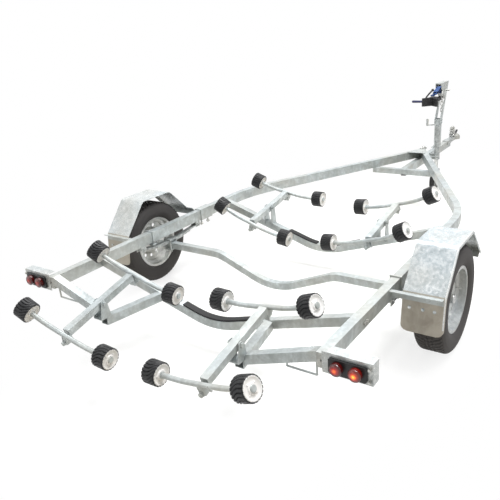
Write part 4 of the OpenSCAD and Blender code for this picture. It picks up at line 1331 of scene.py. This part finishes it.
@dataclass
class JockeyWheel:
    """Clamp, tube, leg, fork and solid rubber wheel."""

    wheel_r: float = 0.100
    ribs: int = 36

    def build(self, bench: Bench) -> None:
        """Dresses the steel and builds the wheel and the crank's knob.

        Args:
            bench: the frame, and what puts pieces on it.
        """
        bench.dress("jockey_clamp", DULL_ZINC, "frame", edge_mm=1.0)
        bench.dress("jockey_tube", DULL_ZINC, "frame", edge_mm=1.0)
        bench.dress("jockey_leg", BRIGHT_ZINC, "jockey_leg", edge_mm=0.8)
        bench.dress("jockey_fork", TUBE_ZINC, "jockey_caster", edge_mm=0.8)
        centre, spin = bench.joint("jockey_wheel_spin")
        place = placement(centre, spin, AHEAD)
        bench.put("jockey_wheel_tyre", self.tyre().placed(place), JOCKEY_RUBBER, "jockey_wheel",
                  ["jockey_wheel"], 40)
        bench.put("jockey_wheel_centre", self.centre().placed(place), JOCKEY_PLASTIC, "jockey_wheel")
        low, high = bench.box("jockey_tube")
        knob = softened(np.array([[0.004, 0.0], [0.0105, 0.003], [0.008, 0.03], [0.011, 0.055],
                                  [0.009, 0.0655], [0.002, 0.0665]]), 2)
        at = (low[0] + 0.0135, high[1] - 0.012, high[2] - 0.067)
        bench.put("jockey_knob", lathe(knob, 24).placed(shift(*at)), KNOB_PLASTIC, "frame")

    def tyre(self) -> Shell:
        """The wheel's tyre about Z, its crown cut by shallow slots across.

        Returns:
            A closed ring.
        """
        r = self.wheel_r
        side = softened(np.array([[0.072, 0.020], [0.082, 0.026], [r - 0.009, 0.0245], [r - 0.002, 0.016],
                                  [r, 0.009]]), 2)
        profile = np.vstack([side, side[::-1] * [1, -1]])
        turn = np.linspace(0, self.ribs, self.ribs * 6, endpoint=False)[None]
        slot = np.clip((np.abs(2 * (turn % 1.0) - 1) - 0.7) / 0.1, 0, 1)
        return lathe(profile, self.ribs * 6, True, slot * 0.002 * (profile[:, :1] > r - 0.004))

    def centre(self) -> Shell:
        """The wheel's centre: a dished disc with a long hub, ribbed by eight spokes.

        Returns:
            One shell.
        """
        half = np.array([[0.0062, 0.028], [0.017, 0.028], [0.020, 0.012], [0.062, 0.010],
                         [0.0725, 0.020]])
        body = lathe(np.vstack([half, half[::-1] * [1, -1]]), 64, True)
        spoke = slab(rounded(0.046, 0.005, 0.001, 3), 0.036, 0.001)
        spokes = []
        for t in full_turn(8):
            out = (math.cos(t), math.sin(t), 0.0)
            spot = (0.041 * out[0], 0.041 * out[1], -0.018)
            spokes.append(spoke.placed(placement(spot, UP, out)))
        return joined([body, *spokes])


# ---- Studio ----------------------------------------------------------------


@dataclass
class Studio:
    """Pale floor, soft lamps, white surroundings and the camera."""

    behind: float = 1.8314
    eye_y: float = -1.930
    eye_z: float = 1.775
    yaw: float = math.radians(36.235)
    pitch: float = math.radians(21.348)
    roll: float = math.radians(-4.614)
    lens_mm: float = 40.92
    floor: str = "#f6f6f4"
    bounce: str = "#a69f90"
    sky: float = 0.85
    horizon: float = 0.16
    shade_from: float = 0.45
    shade_to: float = 1.25
    oval: tuple[float, float] = (2.8, 1.25)
    floor_half: float = 40.0
    lamps_aim: tuple[float, float, float] = (-0.3, 0.0, 0.3)

    def build(self, bench: Bench) -> None:
        """Sets the view transform, the world, the floor, the lamps and the camera.

        Args:
            bench: where the rails' rear ends are, which the camera stands behind.
        """
        scene = bpy.context.scene
        scene.view_settings.view_transform = "Standard"
        self.build_world(scene)
        self.build_floor(scene)
        lamps = (("key", (-1.0, -2.5, 7.5), 3.0, 470), ("fill", (-5.5, 3.5, 4.0), 4.0, 45),
                 ("top", (1.5, 1.0, 6.5), 6.0, 270))
        for name, at, size, power in lamps:
            light = bpy.data.lights.new(name, "AREA")
            light.size, light.energy = size, power
            lamp = bpy.data.objects.new(name, light)
            lamp.location = at
            aim = Vector(self.lamps_aim) - Vector(at)
            lamp.rotation_euler = aim.to_track_quat("-Z", "Y").to_euler()
            scene.collection.objects.link(lamp)
        self.build_camera(scene, bench.box("left_side_rail")[0][0] - self.behind)

    def seen(self, tree: Tree) -> Socket:
        """One for a ray that shows the background: from the camera, off gloss or through a lens.

        Args:
            tree: the nodes that ask.

        Returns:
            The largest of the three answers.
        """
        path = add(tree, "LightPath")
        shown = path.outputs["Is Camera Ray"]
        for kind in ("Is Glossy Ray", "Is Transmission Ray"):
            shown = add(tree, "Math", {0: shown, 1: path.outputs[kind]}, operation="MAXIMUM").outputs[0]
        return shown

    def build_world(self, scene: bpy.types.Scene) -> None:
        """A sky for light, brighter overhead than at the horizon, that the camera sees as white.

        Args:
            scene: the scene that takes it.
        """
        world = bpy.data.worlds.new("surroundings")
        scene.world = world
        world.use_nodes = True
        tree = world.node_tree
        shader = tree.nodes["Background"]
        seen = self.seen(tree)
        up = add(tree, "SeparateXYZ", {0: add(tree, "TexCoord").outputs["Generated"]}).outputs["Z"]
        lit = remap(tree, up, 0.0, 0.85, self.horizon, self.sky)
        power = add(tree, "Mix", {"Factor": seen, "A": lit, "B": 1.0})
        feed(tree, shader, {"Strength": power.outputs[0], "Color": linear("#ffffff")})

    def build_floor(self, scene: bpy.types.Scene) -> None:
        """A wide plain floor that takes the trailer's shadow and turns to even white away from it:
        the share of white grows with the distance outside the trailer's oval.

        Args:
            scene: the scene that takes it.
        """
        half = self.floor_half
        mesh = bpy.data.meshes.new("floor")
        mesh.from_pydata([(-half, -half, 0), (half, -half, 0), (half, half, 0), (-half, half, 0)], [],
                         [(0, 1, 2, 3)])
        paint = bpy.data.materials.new("floor_paint")
        paint.use_nodes = True
        tree = paint.node_tree
        shader = tree.nodes["Principled BSDF"]
        direct = self.seen(tree)
        tone = add(tree, "Mix", {"Factor": direct, "A": linear(self.bounce), "B": linear(self.floor)},
                   data_type="RGBA")
        feed(tree, shader, {"Base Color": tone.outputs["Result"], "Roughness": 0.9,
                            "Specular IOR Level": 0.1})
        place = add(tree, "Mapping", {"Vector": add(tree, "TexCoord").outputs["Object"],
                                      "Scale": (1 / self.oval[0], 1 / self.oval[1], 1.0)})
        away = add(tree, "VectorMath", {0: place.outputs[0]}, operation="LENGTH")
        white = add(tree, "MapRange", {"Value": away.outputs["Value"], 1: self.shade_from,
                                       2: self.shade_to}, interpolation_type="SMOOTHSTEP")
        seen = add(tree, "Math", {0: white.outputs[0], 1: direct}, operation="MULTIPLY")
        glow = add(tree, "Emission", {"Color": linear("#ffffff"), "Strength": 1.0})
        mixed = add(tree, "MixShader", {0: seen.outputs[0], 1: shader.outputs[0], 2: glow.outputs[0]})
        tree.links.new(mixed.outputs[0], tree.nodes["Material Output"].inputs["Surface"])
        mesh.materials.append(paint)
        floor = bpy.data.objects.new("floor", mesh)
        scene.collection.objects.link(floor)

    def build_camera(self, scene: bpy.types.Scene, eye_x: float) -> None:
        """The camera, turned by yaw from +X towards +Y, then pitched down, then rolled.

        Args:
            scene: the scene that it shows.
            eye_x: where along the trailer it stands.
        """
        cy, sy = math.cos(self.yaw), math.sin(self.yaw)
        cp, sp = math.cos(self.pitch), math.sin(self.pitch)
        ahead = Vector((cy * cp, sy * cp, -sp))
        level = Vector((sy, -cy, 0))
        up = level.cross(ahead)
        right = math.cos(self.roll) * level + math.sin(self.roll) * up
        up = right.cross(ahead)
        data = bpy.data.cameras.new("camera")
        data.lens, data.sensor_width, data.clip_end = self.lens_mm, 36.0, 200.0
        camera = bpy.data.objects.new("camera", data)
        turned = Matrix((right, up, -ahead)).transposed().to_4x4()
        camera.matrix_world = Matrix.Translation((eye_x, self.eye_y, self.eye_z)) @ turned
        scene.collection.objects.link(camera)
        scene.camera = camera


def main() -> None:
    """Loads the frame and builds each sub-assembly in order."""
    logging.basicConfig(level=logging.INFO, format="%(message)s")
    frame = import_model()
    bench = Bench(frame)
    for part in (Chassis(), RollerCradles(), RunningGear(), TailLights(), Nose(), JockeyWheel()):
        part.build(bench)
    Studio().build(bench)


if __name__ == "__main__":
    main()
